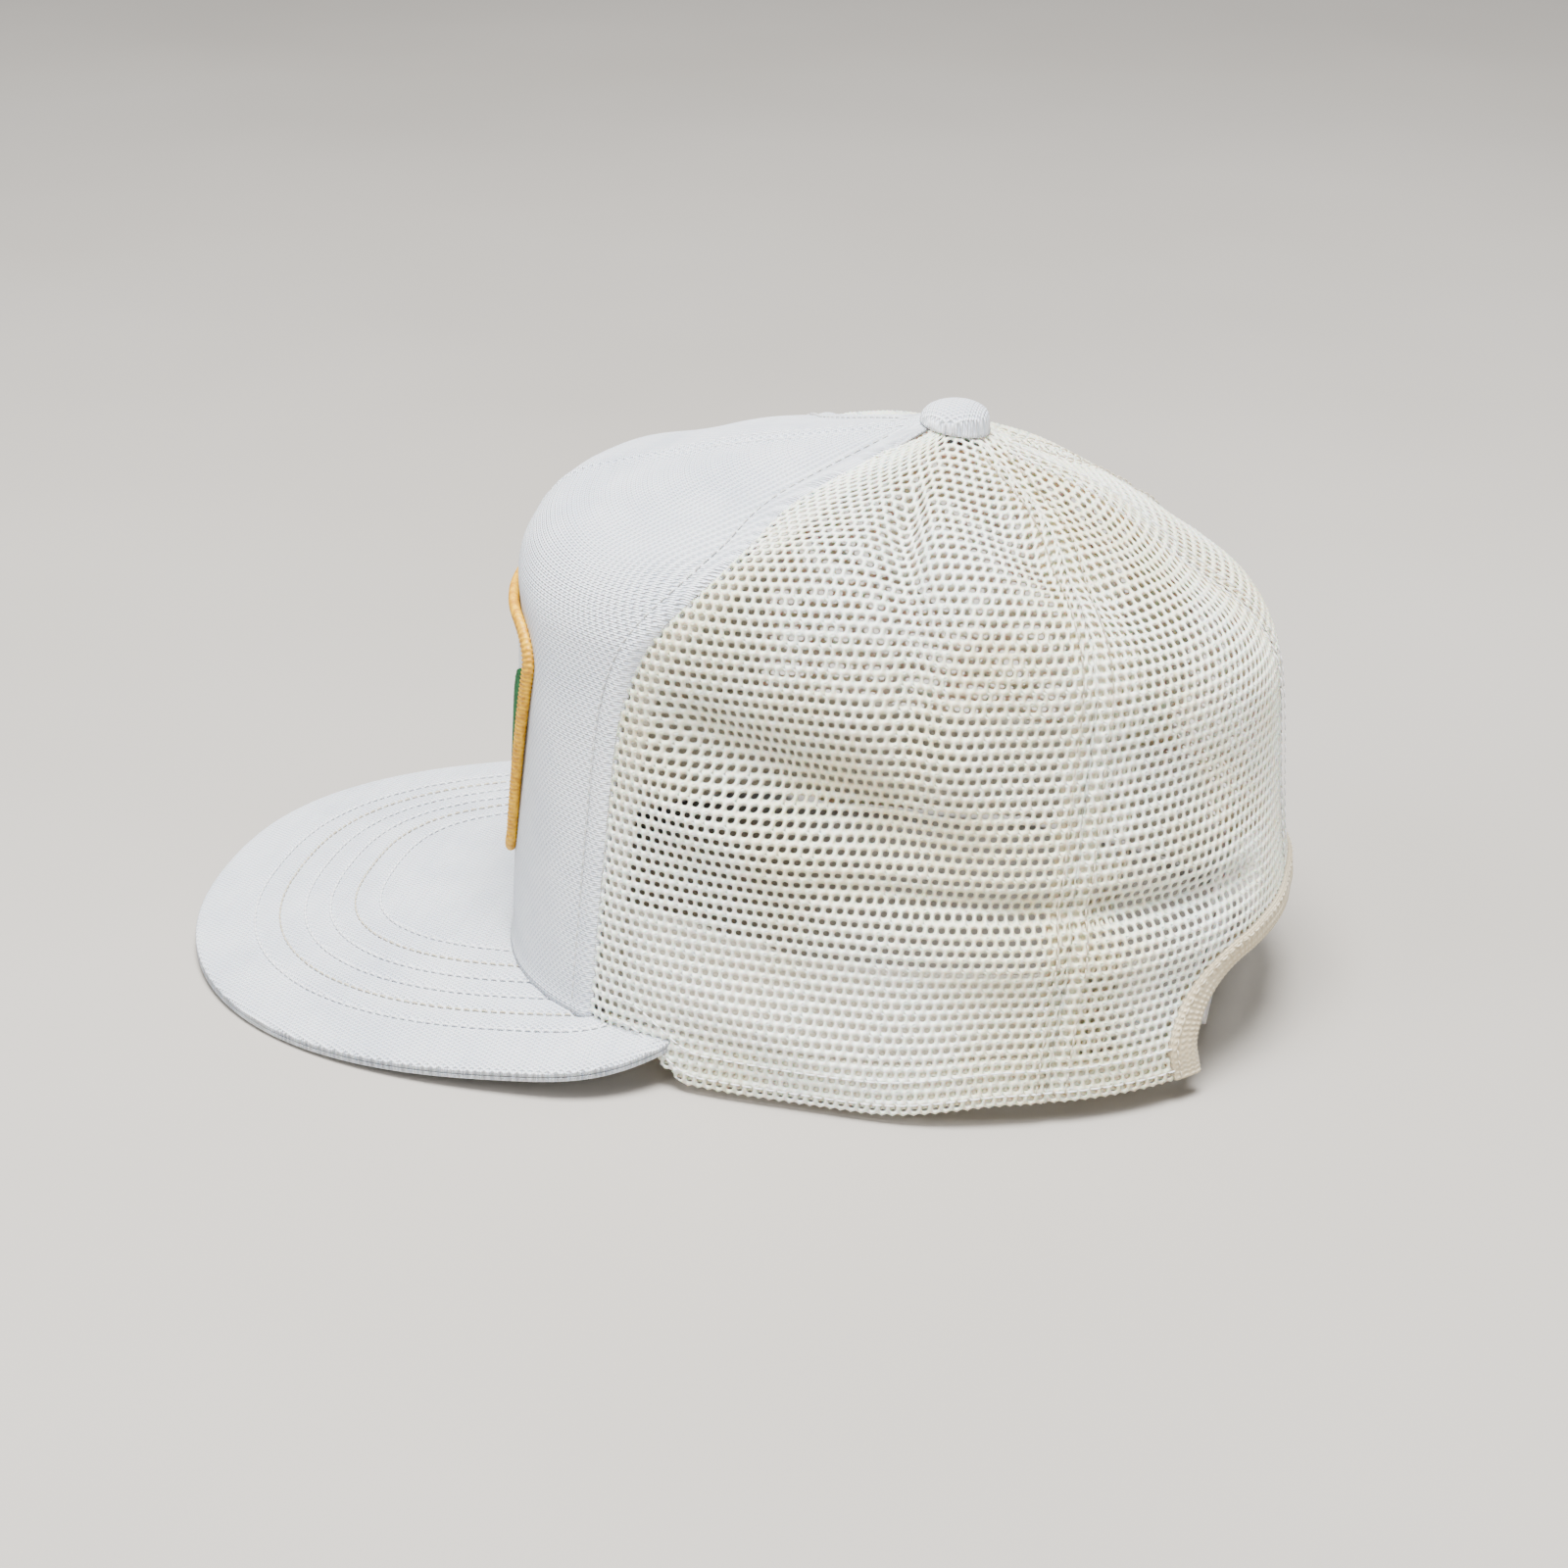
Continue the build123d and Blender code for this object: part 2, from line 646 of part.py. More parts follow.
PEG_LENGTH = STRAP_SPACE + STRAP_THICKNESS + 0.3
peg_root_y = HINGE_Y - STRAP_SHIFT + STRAP_THICKNESS / 2
with BuildPart() as snap_strap_pegs:
    add(strap_blank(1, HINGE_Y - STRAP_SHIFT))
    with BuildSketch(Plane.XZ.offset(-peg_root_y)):
        with Locations(*snap_places):
            Circle(PEG_RADIUS)
    extrude(amount=-PEG_LENGTH)
    fillet(snap_strap_pegs.edges().filter_by(GeomType.CIRCLE).group_by(Axis.Y)[-1], radius=0.4)
finish(snap_strap_pegs.part, "snap_strap_pegs")

ROOT_OUT = TAPE_OUT + TAPE + 0.2
ROOT_LENGTH = 14.0  # degrees of azimuth under the hem
ROOT_END = STRAP_ROOT_AZIMUTH - 1.1  # just short of the strap's hinge


def root_outer(azimuth):
    return ROOT_OUT


def root_inner(azimuth):
    return ROOT_OUT + STRAP_THICKNESS


def strap_foot(azimuth):
    return STRAP_FOOT


with BuildPart() as strap_root:
    add(wall_band(ROOT_END - ROOT_LENGTH, ROOT_END, root_outer, root_inner, strap_foot, STRAP_HEIGHT))
finish_pair(strap_root.part, "strap_root")
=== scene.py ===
"""Trucker mesh cap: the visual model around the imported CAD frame.

Lengths are millimetres until a mesh is made, where they become metres. The crown is the same set
of meridians as in the CAD: azimuth 0 is the front, 90 the wearer's left and 180 the back.
"""
import math

import bmesh
import bpy
import numpy as np
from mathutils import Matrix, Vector


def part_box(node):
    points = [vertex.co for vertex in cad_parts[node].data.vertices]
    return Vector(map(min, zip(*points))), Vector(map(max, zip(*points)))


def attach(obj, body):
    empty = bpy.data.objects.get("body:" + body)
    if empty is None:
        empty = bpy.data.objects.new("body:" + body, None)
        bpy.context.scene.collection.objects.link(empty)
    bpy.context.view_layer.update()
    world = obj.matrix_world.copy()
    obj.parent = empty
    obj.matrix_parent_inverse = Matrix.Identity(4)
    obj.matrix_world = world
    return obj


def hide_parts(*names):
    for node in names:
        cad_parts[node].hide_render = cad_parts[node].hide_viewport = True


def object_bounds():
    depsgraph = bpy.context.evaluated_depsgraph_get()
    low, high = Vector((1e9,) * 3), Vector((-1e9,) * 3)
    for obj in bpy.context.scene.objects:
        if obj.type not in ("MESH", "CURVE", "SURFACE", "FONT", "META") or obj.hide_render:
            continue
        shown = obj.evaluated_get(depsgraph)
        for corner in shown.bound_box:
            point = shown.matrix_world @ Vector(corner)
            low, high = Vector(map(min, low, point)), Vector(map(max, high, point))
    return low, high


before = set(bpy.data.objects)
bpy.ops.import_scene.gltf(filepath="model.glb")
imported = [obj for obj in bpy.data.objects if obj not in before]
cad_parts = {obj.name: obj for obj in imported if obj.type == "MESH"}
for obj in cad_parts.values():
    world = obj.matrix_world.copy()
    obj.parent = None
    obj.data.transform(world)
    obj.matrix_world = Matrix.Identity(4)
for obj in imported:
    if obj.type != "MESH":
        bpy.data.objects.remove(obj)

cad_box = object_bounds()
MM = 0.001


def node_box(node):
    """A node's box in millimetres."""
    low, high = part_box(node)
    return np.array(low) / MM, np.array(high) / MM


# ---- the crown's shape, from the CAD -----------------------------------------------------------
AXIS_Y = float((node_box("button_rivet")[0][1] + node_box("button_rivet")[1][1]) / 2)
CROWN_HEIGHT = 142.0
HALF_WIDTH = 80.0
FRONT_REACH = 106.0
BACK_REACH = 87.0
FRONT_SQUARENESS = 2.8
BACK_SQUARENESS = 2.1
FRONT_SEAM = 44.0
REAR_SEAM = 118.0
FABRIC = 0.9
FOAM = 2.2

TIP_Y = float(node_box("visor_top_cover")[0][1])
VISOR_WIDEST_Y = -77.5
VISOR_HALF_WIDTH = 88.0
VISOR_SQUARENESS = 2.35
VISOR_TAIL_LENGTH = 38.0  # behind the widest place, where the crown hides it
VISOR_TAIL_NARROWING = 14.5
VISOR_TAIL_BEND = 3.2
VISOR_SLOPE = math.radians(4.8)
VISOR_CAMBER_RADIUS = 500.0
VISOR_TIP_TOP = 3.8
VISOR_THICKNESS = 3.6
VISOR_CLOTH = 0.55
VISOR_CORNER = (48, 61)  # azimuths between which the crown leaves the visor

HEM_LIFT = 3.6  # the hem's rise behind, where the cap rocks forward on its visor
HEM_LIFT_AZIMUTHS = (88, 112)

ARCH_HALF_WIDTH = 49.5
ARCH_HEIGHT = 28.0
ARCH_CORNER = 18.0
ARCH_CROWN = 3.0

PATCH_WIDTH = 89.4
PATCH_FOOT_WIDTH = 71.0
PATCH_HEIGHT = 66.0
PATCH_FOOT = float(node_box("patch_border")[0][2])
PATCH_TOP_CORNER = 11.0
PATCH_FOOT_CORNER = 5.0
PATCH_BORDER = 3.2
CORD_SIDES = 12
CORD_RADIUS = 1.7
EDGE_COUNT = 180  # points around the patch's twill
CORD_PITCH = 1.15  # between the turns of thread on the patch's and the opening's edges

SIDES = ((1, "left"), (-1, "right"))


def blend(value, low, high):
    """0 below low, 1 above high, smooth between."""
    t = np.clip((np.asarray(value, float) - low) / (high - low), 0, 1)
    return t * t * (3 - 2 * t)


def superellipse(angle, across, along, exponent):
    a = np.abs(np.sin(angle)) / across
    b = np.abs(np.cos(angle)) / along
    return (a**exponent + b**exponent) ** (-1 / exponent)


def foot_radius(azimuth):
    angle = np.radians(azimuth)
    front = superellipse(angle, HALF_WIDTH, FRONT_REACH, FRONT_SQUARENESS)
    back = superellipse(angle, HALF_WIDTH, BACK_REACH, BACK_SQUARENESS)
    return np.where(np.cos(angle) > 0, front, back)


def wave(azimuth, mean, front_back, front_side):
    angle = np.radians(azimuth)
    return mean + front_back * np.cos(angle) + front_side * np.cos(2 * angle)


def slope(azimuth):
    """Degrees that the crown falls from the button outward."""
    return wave(azimuth, 21.7, -7.3, 0.9)


def lean(azimuth):
    """Degrees that the crown's wall leans in."""
    return wave(azimuth, 8.3, -1.3, -3.7)


def meridian_parts(azimuth):
    """Slope, lean, shoulder radius, and the lengths of a meridian's slope, shoulder and wall."""
    top = np.radians(slope(azimuth))
    wall = np.radians(lean(azimuth))
    radius = wave(azimuth, 29.0, -5.0, -5.0)
    reach = foot_radius(azimuth)
    corner_r = (reach - CROWN_HEIGHT * np.tan(wall)) / (1 - np.tan(top) * np.tan(wall))
    corner_z = CROWN_HEIGHT - corner_r * np.tan(top)
    turn = math.pi / 2 - top - wall
    cut = radius * np.tan(turn / 2)
    slope_length = corner_r / np.cos(top) - cut
    wall_length = (corner_z - cut * np.cos(wall)) / np.cos(wall)
    return top, wall, radius, turn, slope_length, wall_length


def meridian_length(azimuth):
    _, _, radius, turn, slope_length, wall_length = meridian_parts(azimuth)
    return slope_length + radius * turn + wall_length


def profile(azimuth, run):
    """Radius, height and heading of the outer surface, at a run along the meridian from its top."""
    top, wall, radius, turn, slope_length, _ = meridian_parts(azimuth)
    bend = np.clip((run - slope_length) / radius, 0, turn)
    heading = top + bend
    on_slope = np.minimum(run, slope_length)
    on_wall = np.maximum(run - slope_length - radius * turn, 0)
    r = on_slope * np.cos(top) + radius * (np.sin(heading) - np.sin(top)) + on_wall * np.sin(wall)
    z = CROWN_HEIGHT - on_slope * np.sin(top) - radius * (np.cos(top) - np.cos(heading))
    return r, z - on_wall * np.cos(wall), heading


def fold(azimuth, height, start, end, width, depth):
    """A soft valley (or a ridge, with a negative depth) along a line in azimuth and height."""
    scale = np.array([1.35, 1.0])  # millimetres for a degree of azimuth, and for a millimetre of height
    p = np.stack(np.broadcast_arrays(azimuth, height), -1) * scale
    a = np.array(start, float) * scale
    b = np.array(end, float) * scale
    along = np.clip(((p - a) @ (b - a)) / ((b - a) @ (b - a)), 0, 1)
    away = np.linalg.norm(p - a - along[..., None] * (b - a), axis=-1)
    ease = 0.35 + 0.65 * np.sin(math.pi * np.clip(along, 0.02, 0.98)) ** 0.6
    return -depth * ease * np.exp(-((away / width) ** 2))


# the soft folds of each side's mesh, as (start, end, width, depth); start and end are azimuth, height
LEFT_FOLDS = [
    ((47, 88), (68, 76), 8, 4.5),
    ((68, 76), (104, 62), 8, 3.6),
    ((50, 68), (84, 52), 8, -2.0),
    ((70, 98), (100, 84), 9, -1.6),
    ((77, 160), (91, 114), 8, 4.2),
    ((91, 114), (92, 78), 6, 2.6),
    ((102, 108), (104, 70), 8, -1.4),
    ((78, 53), (160, 45), 4, 2.8),
    ((80, 41), (156, 34), 7, -1.6),
    ((122, 140), (150, 112), 10, 2.2),
    ((128, 84), (160, 64), 12, 1.6),
    ((56, 24), (84, 10), 8, -1.6),
]
RIGHT_FOLDS = [
    ((50, 90), (88, 66), 9, 4.0),
    ((54, 68), (82, 52), 8, -1.8),
    ((80, 156), (96, 116), 10, 3.6),
    ((96, 116), (96, 80), 7, 2.0),
    ((76, 50), (158, 44), 5, 2.4),
    ((80, 38), (154, 33), 7, -1.4),
    ((124, 134), (152, 112), 10, 2.0),
    ((56, 24), (84, 10), 8, -1.6),
]


def front_seam(height):
    """Azimuth of the seam between front and side panels at a height along the meridian."""
    return FRONT_SEAM - 1.0 + 9.0 * np.exp(-(((height - 127) / 24) ** 2))


def rear_seam(height):
    """Azimuth of the seam between side and rear panels at a height along the meridian."""
    return REAR_SEAM - 0.5 + 0.12 * height + 7.0 * blend(height, 112, 165)


def softness(azimuth, run):
    """How far the cloth stands off the CAD surface at a place, in millimetres."""
    around = np.asarray(azimuth, float)
    size = np.abs(around)
    height = meridian_length(around) - run
    total = np.zeros(np.broadcast(around, run).shape)
    for folds, sign in ((LEFT_FOLDS, 1), (RIGHT_FOLDS, -1)):
        side = np.where(around * sign >= 0, 1.0, 0.0)
        for start, end, width, depth in folds:
            total = total + side * fold(size, height, start, end, width, depth)
    first = front_seam(height)
    second = rear_seam(height)
    total = total * blend(size - first, 1, 10) * blend(180 - size, 0, 10) * blend(run, 14, 34)
    held = 1 - 0.6 * np.exp(-(((size - second) / 5) ** 2))
    ripple = 0.45 * np.sin(size / 7.0 + height / 11.0) * blend(size - first, 2, 16) * blend(run, 14, 34)
    rear_puff = 2.8 * np.exp(-(((180 - size) / 34) ** 2)) * blend(height, 104, 150) * blend(run, 12, 40)
    front_puff = 3.4 * blend(34 - size, 0, 26) * blend(height, 84, 112) * blend(run, 16, 60)
    arc = np.radians(np.minimum(np.abs(size - first), np.abs(size - second))) * foot_radius(size)
    arc_share = blend(run, 0, 90)
    seam_dip = -0.5 * np.exp(-((arc * arc_share / 2.2) ** 2)) * blend(run, 8, 30)
    return 1.3 * total * held + ripple + rear_puff + front_puff + seam_dip


def crown(azimuth, run, depth=0.0, stand=0.0):
    """Points on the crown's surface at a depth inside it, with the cloth's softness."""
    azimuth, run = np.broadcast_arrays(np.asarray(azimuth, float), np.asarray(run, float))
    r, z, heading = profile(azimuth, run)
    off = softness(azimuth, run) + stand - depth
    angle = np.radians(azimuth)
    r = r + off * np.sin(heading)
    z = z + off * np.cos(heading)
    return np.stack([r * np.sin(angle), AXIS_Y - r * np.cos(angle), z], -1)


def outward(azimuth, run):
    """The crown's outward direction in the meridian's plane."""
    azimuth, run = np.broadcast_arrays(np.asarray(azimuth, float), np.asarray(run, float))
    _, _, heading = profile(azimuth, run)
    angle = np.radians(azimuth)
    flat = np.sin(heading)
    return np.stack([flat * np.sin(angle), -flat * np.cos(angle), np.cos(heading)], -1)


def visor_height(x, y):
    """The visor's upper surface."""
    sag = VISOR_CAMBER_RADIUS - np.sqrt(VISOR_CAMBER_RADIUS**2 - np.asarray(x, float) ** 2)
    return VISOR_TIP_TOP + (y - TIP_Y) * math.tan(VISOR_SLOPE) - sag / math.cos(VISOR_SLOPE)


def hem_rise(azimuth):
    """How far up the wall from z = 0 the panels end: on the visor in front, low at the sides."""
    size = np.abs(np.asarray(azimuth, float))
    r = foot_radius(size)
    angle = np.radians(size)
    on_visor = visor_height(r * np.sin(angle), AXIS_Y - r * np.cos(angle)) + 0.15
    return on_visor * (1 - blend(size, *VISOR_CORNER)) + HEM_LIFT * blend(size, *HEM_LIFT_AZIMUTHS)


# ---- mesh making -------------------------------------------------------------------------------
def make_object(name, points, faces, material, uv=None):
    """A piece of the cap from points in millimetres; uv is one pair for each point."""
    mesh = bpy.data.meshes.new(name)
    mesh.from_pydata((np.asarray(points) * MM).tolist(), [], [list(map(int, f)) for f in faces])
    mesh.validate()
    if uv is not None:
        corner = np.empty(len(mesh.loops), np.int32)
        mesh.loops.foreach_get("vertex_index", corner)
        layer = mesh.uv_layers.new(name="cloth")
        layer.data.foreach_set("uv", np.asarray(uv, np.float32)[corner].ravel())
    mesh.polygons.foreach_set("use_smooth", np.ones(len(mesh.polygons), bool))
    mesh.materials.append(material)
    piece = bpy.data.objects.new(name, mesh)
    bpy.context.collection.objects.link(piece)
    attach(piece, "cap")
    return piece


def grid_faces(rows, columns, closed_rows=False, closed_columns=False, start=0):
    """Quads over a grid of points numbered row by row."""
    i = np.arange(rows if closed_rows else rows - 1)
    j = np.arange(columns if closed_columns else columns - 1)
    i, j = np.meshgrid(i, j, indexing="ij")
    i2 = (i + 1) % rows
    j2 = (j + 1) % columns
    corners = [i * columns + j, i * columns + j2, i2 * columns + j2, i2 * columns + j]
    return np.stack(corners, -1).reshape(-1, 4) + start


def shell(outer, inner):
    """A closed skin between two grids of points: points and quads."""
    rows, columns = outer.shape[:2]
    count = rows * columns
    top = grid_faces(rows, columns)
    under = grid_faces(rows, columns)[:, ::-1] + count
    ring = np.concatenate(
        [
            np.arange(columns),
            np.arange(1, rows) * columns + columns - 1,
            (rows - 1) * columns + np.arange(columns - 2, -1, -1),
            np.arange(rows - 2, 0, -1) * columns,
        ]
    )
    nxt = np.roll(ring, -1)
    rim = np.stack([nxt, ring, ring + count, nxt + count], -1)
    points = np.concatenate([outer.reshape(-1, 3), inner.reshape(-1, 3)])
    return points, np.concatenate([top, under, rim])


def turn_out(piece):
    """Make a closed piece's faces point outward."""
    work = bmesh.new()
    work.from_mesh(piece.data)
    bmesh.ops.recalc_face_normals(work, faces=work.faces)
    work.to_mesh(piece.data)
    work.free()
    return piece


def travel_along(line):
    """The distance travelled along a line at each of its points."""
    return np.concatenate([[0], np.cumsum(np.linalg.norm(np.diff(line, axis=0), axis=1))])


def sweep_threads(starts, ends, lift, radius, sides=6):
    """Stitches as short bowed threads between starts and ends: points and quads."""
    starts = np.asarray(starts, float)
    ends = np.asarray(ends, float)
    lift = np.asarray(lift, float)
    along = ends - starts
    length = np.linalg.norm(along, axis=1, keepdims=True)
    forward = along / np.maximum(length, 1e-9)
    up = lift - (lift * forward).sum(1, keepdims=True) * forward
    up /= np.maximum(np.linalg.norm(up, axis=1, keepdims=True), 1e-9)
    side = np.cross(forward, up)
    places = np.array([0.0, 0.1, 0.5, 0.9, 1.0])
    heights = np.array([-0.9, 0.35, 0.75, 0.35, -0.9]) * radius
    sizes = np.array([0.35, 0.9, 1.0, 0.9, 0.35]) * radius
    angle = np.arange(sides) * 2 * math.pi / sides
    points = []
    for place, height, size in zip(places, heights, sizes):
        centre = starts + along * place + up * height
        ring = [centre + (side * math.cos(a) + up * math.sin(a)) * size for a in angle]
        points.append(np.stack(ring, 1))
    points = np.stack(points, 1)  # stitch, ring, side, xyz
    count = len(places) * sides
    tube = grid_faces(len(places), sides, closed_columns=True)
    faces = (tube[None] + np.arange(len(starts))[:, None, None] * count).reshape(-1, 4)
    return points.reshape(-1, 3), faces


def stitch_line(path, lift, pitch, share):
    """Stitches along a path of points: starts, ends and lifts, spaced by a pitch."""
    travel = travel_along(path)
    count = max(int(travel[-1] / pitch), 1)
    begin = (np.arange(count) + (1 - share) / 2) * travel[-1] / count
    finish = begin + share * travel[-1] / count

    def at(where, values):
        return np.stack([np.interp(where, travel, values[:, k]) for k in range(3)], -1)

    return at(begin, path), at(finish, path), at((begin + finish) / 2, lift)


def stitched(name, lines, material, radius, pitch, share):
    """One object of stitches along several (path, lift) lines."""
    parts = [stitch_line(path, lift, pitch, share) for path, lift in lines]
    starts, ends, lifts = (np.concatenate([p[k] for p in parts]) for k in range(3))
    points, faces = sweep_threads(starts, ends, lifts, radius)
    return make_object(name, points, faces, material)


# ---- materials ---------------------------------------------------------------------------------
def set_socket(node, name, value):
    node.inputs[name].default_value = value


class Finish:
    """A material built from nodes, with its cloth coordinates in millimetres."""

    def __init__(self, name, roughness, sheen=0.0, subsurface=0.0, metallic=0.0):
        self.material = bpy.data.materials.new(name)
        self.material.use_nodes = True
        self.tree = self.material.node_tree
        self.shader = next(n for n in self.tree.nodes if n.type == "BSDF_PRINCIPLED")
        set_socket(self.shader, "Roughness", roughness)
        set_socket(self.shader, "Metallic", metallic)
        if sheen:
            set_socket(self.shader, "Sheen Weight", sheen)
            set_socket(self.shader, "Sheen Roughness", 0.5)
        if subsurface:
            set_socket(self.shader, "Subsurface Weight", subsurface)
            set_socket(self.shader, "Subsurface Scale", 0.002)
        place = self.tree.nodes.new("ShaderNodeTexCoord")
        self.cloth = place.outputs["UV"]
        self.space = place.outputs["Object"]
        self.height = None

    def link(self, a, b):
        self.tree.links.new(a, b)

    def noise(self, scale, detail=3.0, vector=None):
        node = self.tree.nodes.new("ShaderNodeTexNoise")
        set_socket(node, "Scale", scale)
        set_socket(node, "Detail", detail)
        self.link(vector or self.space, node.inputs["Vector"])
        return node.outputs["Fac"]

    def wave(self, turn, scale, distortion=0.0, vector=None, profile="SIN"):
        """Parallel ridges, scale to a millimetre of cloth, turned by degrees."""
        mapping = self.tree.nodes.new("ShaderNodeMapping")
        mapping.inputs["Rotation"].default_value = (0, 0, math.radians(turn))
        self.link(vector or self.cloth, mapping.inputs["Vector"])
        node = self.tree.nodes.new("ShaderNodeTexWave")
        node.wave_profile = profile
        set_socket(node, "Scale", scale)
        set_socket(node, "Distortion", distortion)
        set_socket(node, "Detail", 1.0)
        self.link(mapping.outputs["Vector"], node.inputs["Vector"])
        return node.outputs["Fac"]

    def combine(self, a, b, operation="MULTIPLY"):
        node = self.tree.nodes.new("ShaderNodeMath")
        node.operation = operation
        for value, socket in ((a, node.inputs[0]), (b, node.inputs[1])):
            if isinstance(value, (int, float)):
                socket.default_value = value
            else:
                self.link(value, socket)
        return node.outputs["Value"]

    def colour(self, factor, *stops):
        """Base colour from a factor through stops of (position, colour)."""
        ramp = self.tree.nodes.new("ShaderNodeValToRGB")
        band = ramp.color_ramp
        band.elements[0].position = stops[0][0]
        band.elements[0].color = (*stops[0][1], 1)
        band.elements[1].position = stops[-1][0]
        band.elements[1].color = (*stops[-1][1], 1)
        for position, value in stops[1:-1]:
            band.elements.new(position).color = (*value, 1)
        self.link(factor, ramp.inputs["Fac"])
        self.link(ramp.outputs["Color"], self.shader.inputs["Base Color"])
        return self

    def bump(self, height, distance, strength=1.0):
        node = self.tree.nodes.new("ShaderNodeBump")
        set_socket(node, "Strength", strength)
        set_socket(node, "Distance", distance * MM)
        self.link(height, node.inputs["Height"])
        self.link(node.outputs["Normal"], self.shader.inputs["Normal"])
        return self


def knit_finish(name, light, dark, depth):
    """A fine double knit: two crossing sets of ridges, about a millimetre apart."""
    f = Finish(name, 0.82, sheen=0.25, subsurface=0.05)
    one = f.wave(32, 0.29, 0.5)
    two = f.wave(-32, 0.29, 0.5)
    rows = f.wave(90, 0.55, 0.4)
    weave = f.combine(f.combine(one, two, "MAXIMUM"), f.combine(rows, 0.35), "ADD")
    # colour: random tone from the noise, plus painted shade: darker where the knit's ridges lie low, in its
    # hollows; the cool dark colour stands for that shade
    tone = f.combine(f.combine(f.noise(60, 4), 0.6), f.combine(weave, 0.32), "ADD")
    f.colour(tone, (0.34, dark), (0.70, light))
    f.bump(weave, depth, 0.8)
    return f.material


def mesh_finish(name, light, dark):
    f = Finish(name, 0.36, sheen=0.1, subsurface=0.35)
    patchy = f.combine(f.noise(22, 3), 0.7)
    fine = f.combine(f.noise(900, 2), 0.3)
    f.colour(f.combine(patchy, fine, "ADD"), (0.36, dark), (0.56, light))
    f.bump(f.wave(40, 1.1, 1.0), 0.08, 0.5)
    return f.material


def thread_finish(name, light, dark, roughness=0.55, sheen=0.3):
    f = Finish(name, roughness, sheen=sheen)
    f.colour(f.noise(700, 2), (0.35, dark), (0.65, light))
    f.bump(f.noise(2600, 2), 0.06, 0.5)
    return f.material


def woven_finish(name, light, dark, across, depth, roughness=0.85, turn=0):
    """A plain or ribbed weave; across is the number of yarns in a millimetre."""
    f = Finish(name, roughness, sheen=0.2)
    warp = f.wave(turn, 0.16 * across, 0.5)
    weft = f.wave(turn + 90, 0.16 * across * 1.3, 0.5)
    weave = f.combine(warp, weft)
    # colour: random tone from the noise, plus painted shade: darker where the weave lies low, between the
    # yarns
    tone = f.combine(f.combine(f.noise(90, 3), 0.55), f.combine(weave, 0.45), "ADD")
    f.colour(tone, (0.2, dark), (0.68, light))
    f.bump(weave, depth, 0.8)
    return f.material


def foam_finish():
    f = Finish("foam", 0.95, subsurface=0.1)
    cells = f.tree.nodes.new("ShaderNodeTexVoronoi")
    set_socket(cells, "Scale", 900.0)
    f.link(f.space, cells.inputs["Vector"])
    # colour: random tone, plus painted shade: darker in the foam's pits, where the cells' bump lies low
    tone = f.combine(f.combine(f.noise(40, 4), 0.7), f.combine(cells.outputs["Distance"], 0.4), "ADD")
    f.colour(tone, (0.3, (0.62, 0.58, 0.46)), (0.7, (0.8, 0.77, 0.68)))
    f.bump(cells.outputs["Distance"], 0.25, 0.8)
    return f.material


def plastic_finish():
    f = Finish("snap_plastic", 0.34, subsurface=0.35)
    set_socket(f.shader, "Transmission Weight", 0.12)
    set_socket(f.shader, "IOR", 1.49)
    f.colour(f.noise(120, 3), (0.3, (0.74, 0.73, 0.68)), (0.7, (0.86, 0.86, 0.83)))
    f.bump(f.noise(1500, 2), 0.02, 0.35)
    return f.material


def steel_finish():
    f = Finish("rivet_steel", 0.38, metallic=1.0)
    f.colour(f.noise(300, 4), (0.3, (0.42, 0.42, 0.43)), (0.7, (0.66, 0.66, 0.67)))
    f.bump(f.noise(2400, 2), 0.02, 0.4)
    return f.material


def board_finish():
    f = Finish("visor_board", 0.7)
    f.colour(f.noise(150, 5), (0.3, (0.5, 0.48, 0.42)), (0.7, (0.68, 0.66, 0.6)))
    f.bump(f.noise(900, 3), 0.05, 0.4)
    return f.material


# the knits' cool dark colours are painted shade in the knit's hollows, mixed with random tone
KNIT = knit_finish("white_knit", (0.90, 0.93, 0.98), (0.60, 0.66, 0.76), 0.9)
BUTTON_KNIT = knit_finish("button_knit", (0.88, 0.91, 0.96), (0.56, 0.62, 0.72), 0.9)
MESH_YARN = mesh_finish("mesh_yarn", (0.97, 0.93, 0.83), (0.82, 0.73, 0.50))
FOLD_YARN = mesh_finish("folded_mesh_yarn", (0.94, 0.87, 0.70), (0.80, 0.70, 0.47))
TAPE_WEAVE = woven_finish("seam_tape", (0.80, 0.78, 0.72), (0.6, 0.57, 0.48), 2.0, 0.2)
BAND_WEAVE = woven_finish("sweatband_cotton", (0.86, 0.83, 0.75), (0.66, 0.62, 0.52), 1.8, 0.2, turn=35)
BINDING_WEAVE = woven_finish("binding_braid", (0.78, 0.69, 0.50), (0.55, 0.45, 0.28), 1.6, 0.3)
TWILL = woven_finish("patch_twill", (0.82, 0.84, 0.84), (0.66, 0.68, 0.68), 2.2, 0.2, turn=40)
WHITE_THREAD = thread_finish("white_thread", (0.84, 0.85, 0.86), (0.68, 0.69, 0.70))
TAN_THREAD = thread_finish("tan_thread", (0.66, 0.60, 0.47), (0.46, 0.40, 0.28))
GREY_THREAD = thread_finish("grey_thread", (0.66, 0.66, 0.64), (0.5, 0.5, 0.48))
GOLD_THREAD = thread_finish("gold_thread", (0.80, 0.44, 0.0), (0.50, 0.22, 0.0), 0.5, sheen=0)
GREEN_THREAD = thread_finish("green_thread", (0.0, 0.14, 0.03), (0.0, 0.05, 0.012), 0.5, sheen=0)
SUN_THREAD = thread_finish("sun_thread", (0.92, 0.50, 0.01), (0.64, 0.27, 0.0), 0.5, sheen=0)
FOAM_FILL = foam_finish()
PLASTIC = plastic_finish()
STEEL = steel_finish()
BOARD = board_finish()


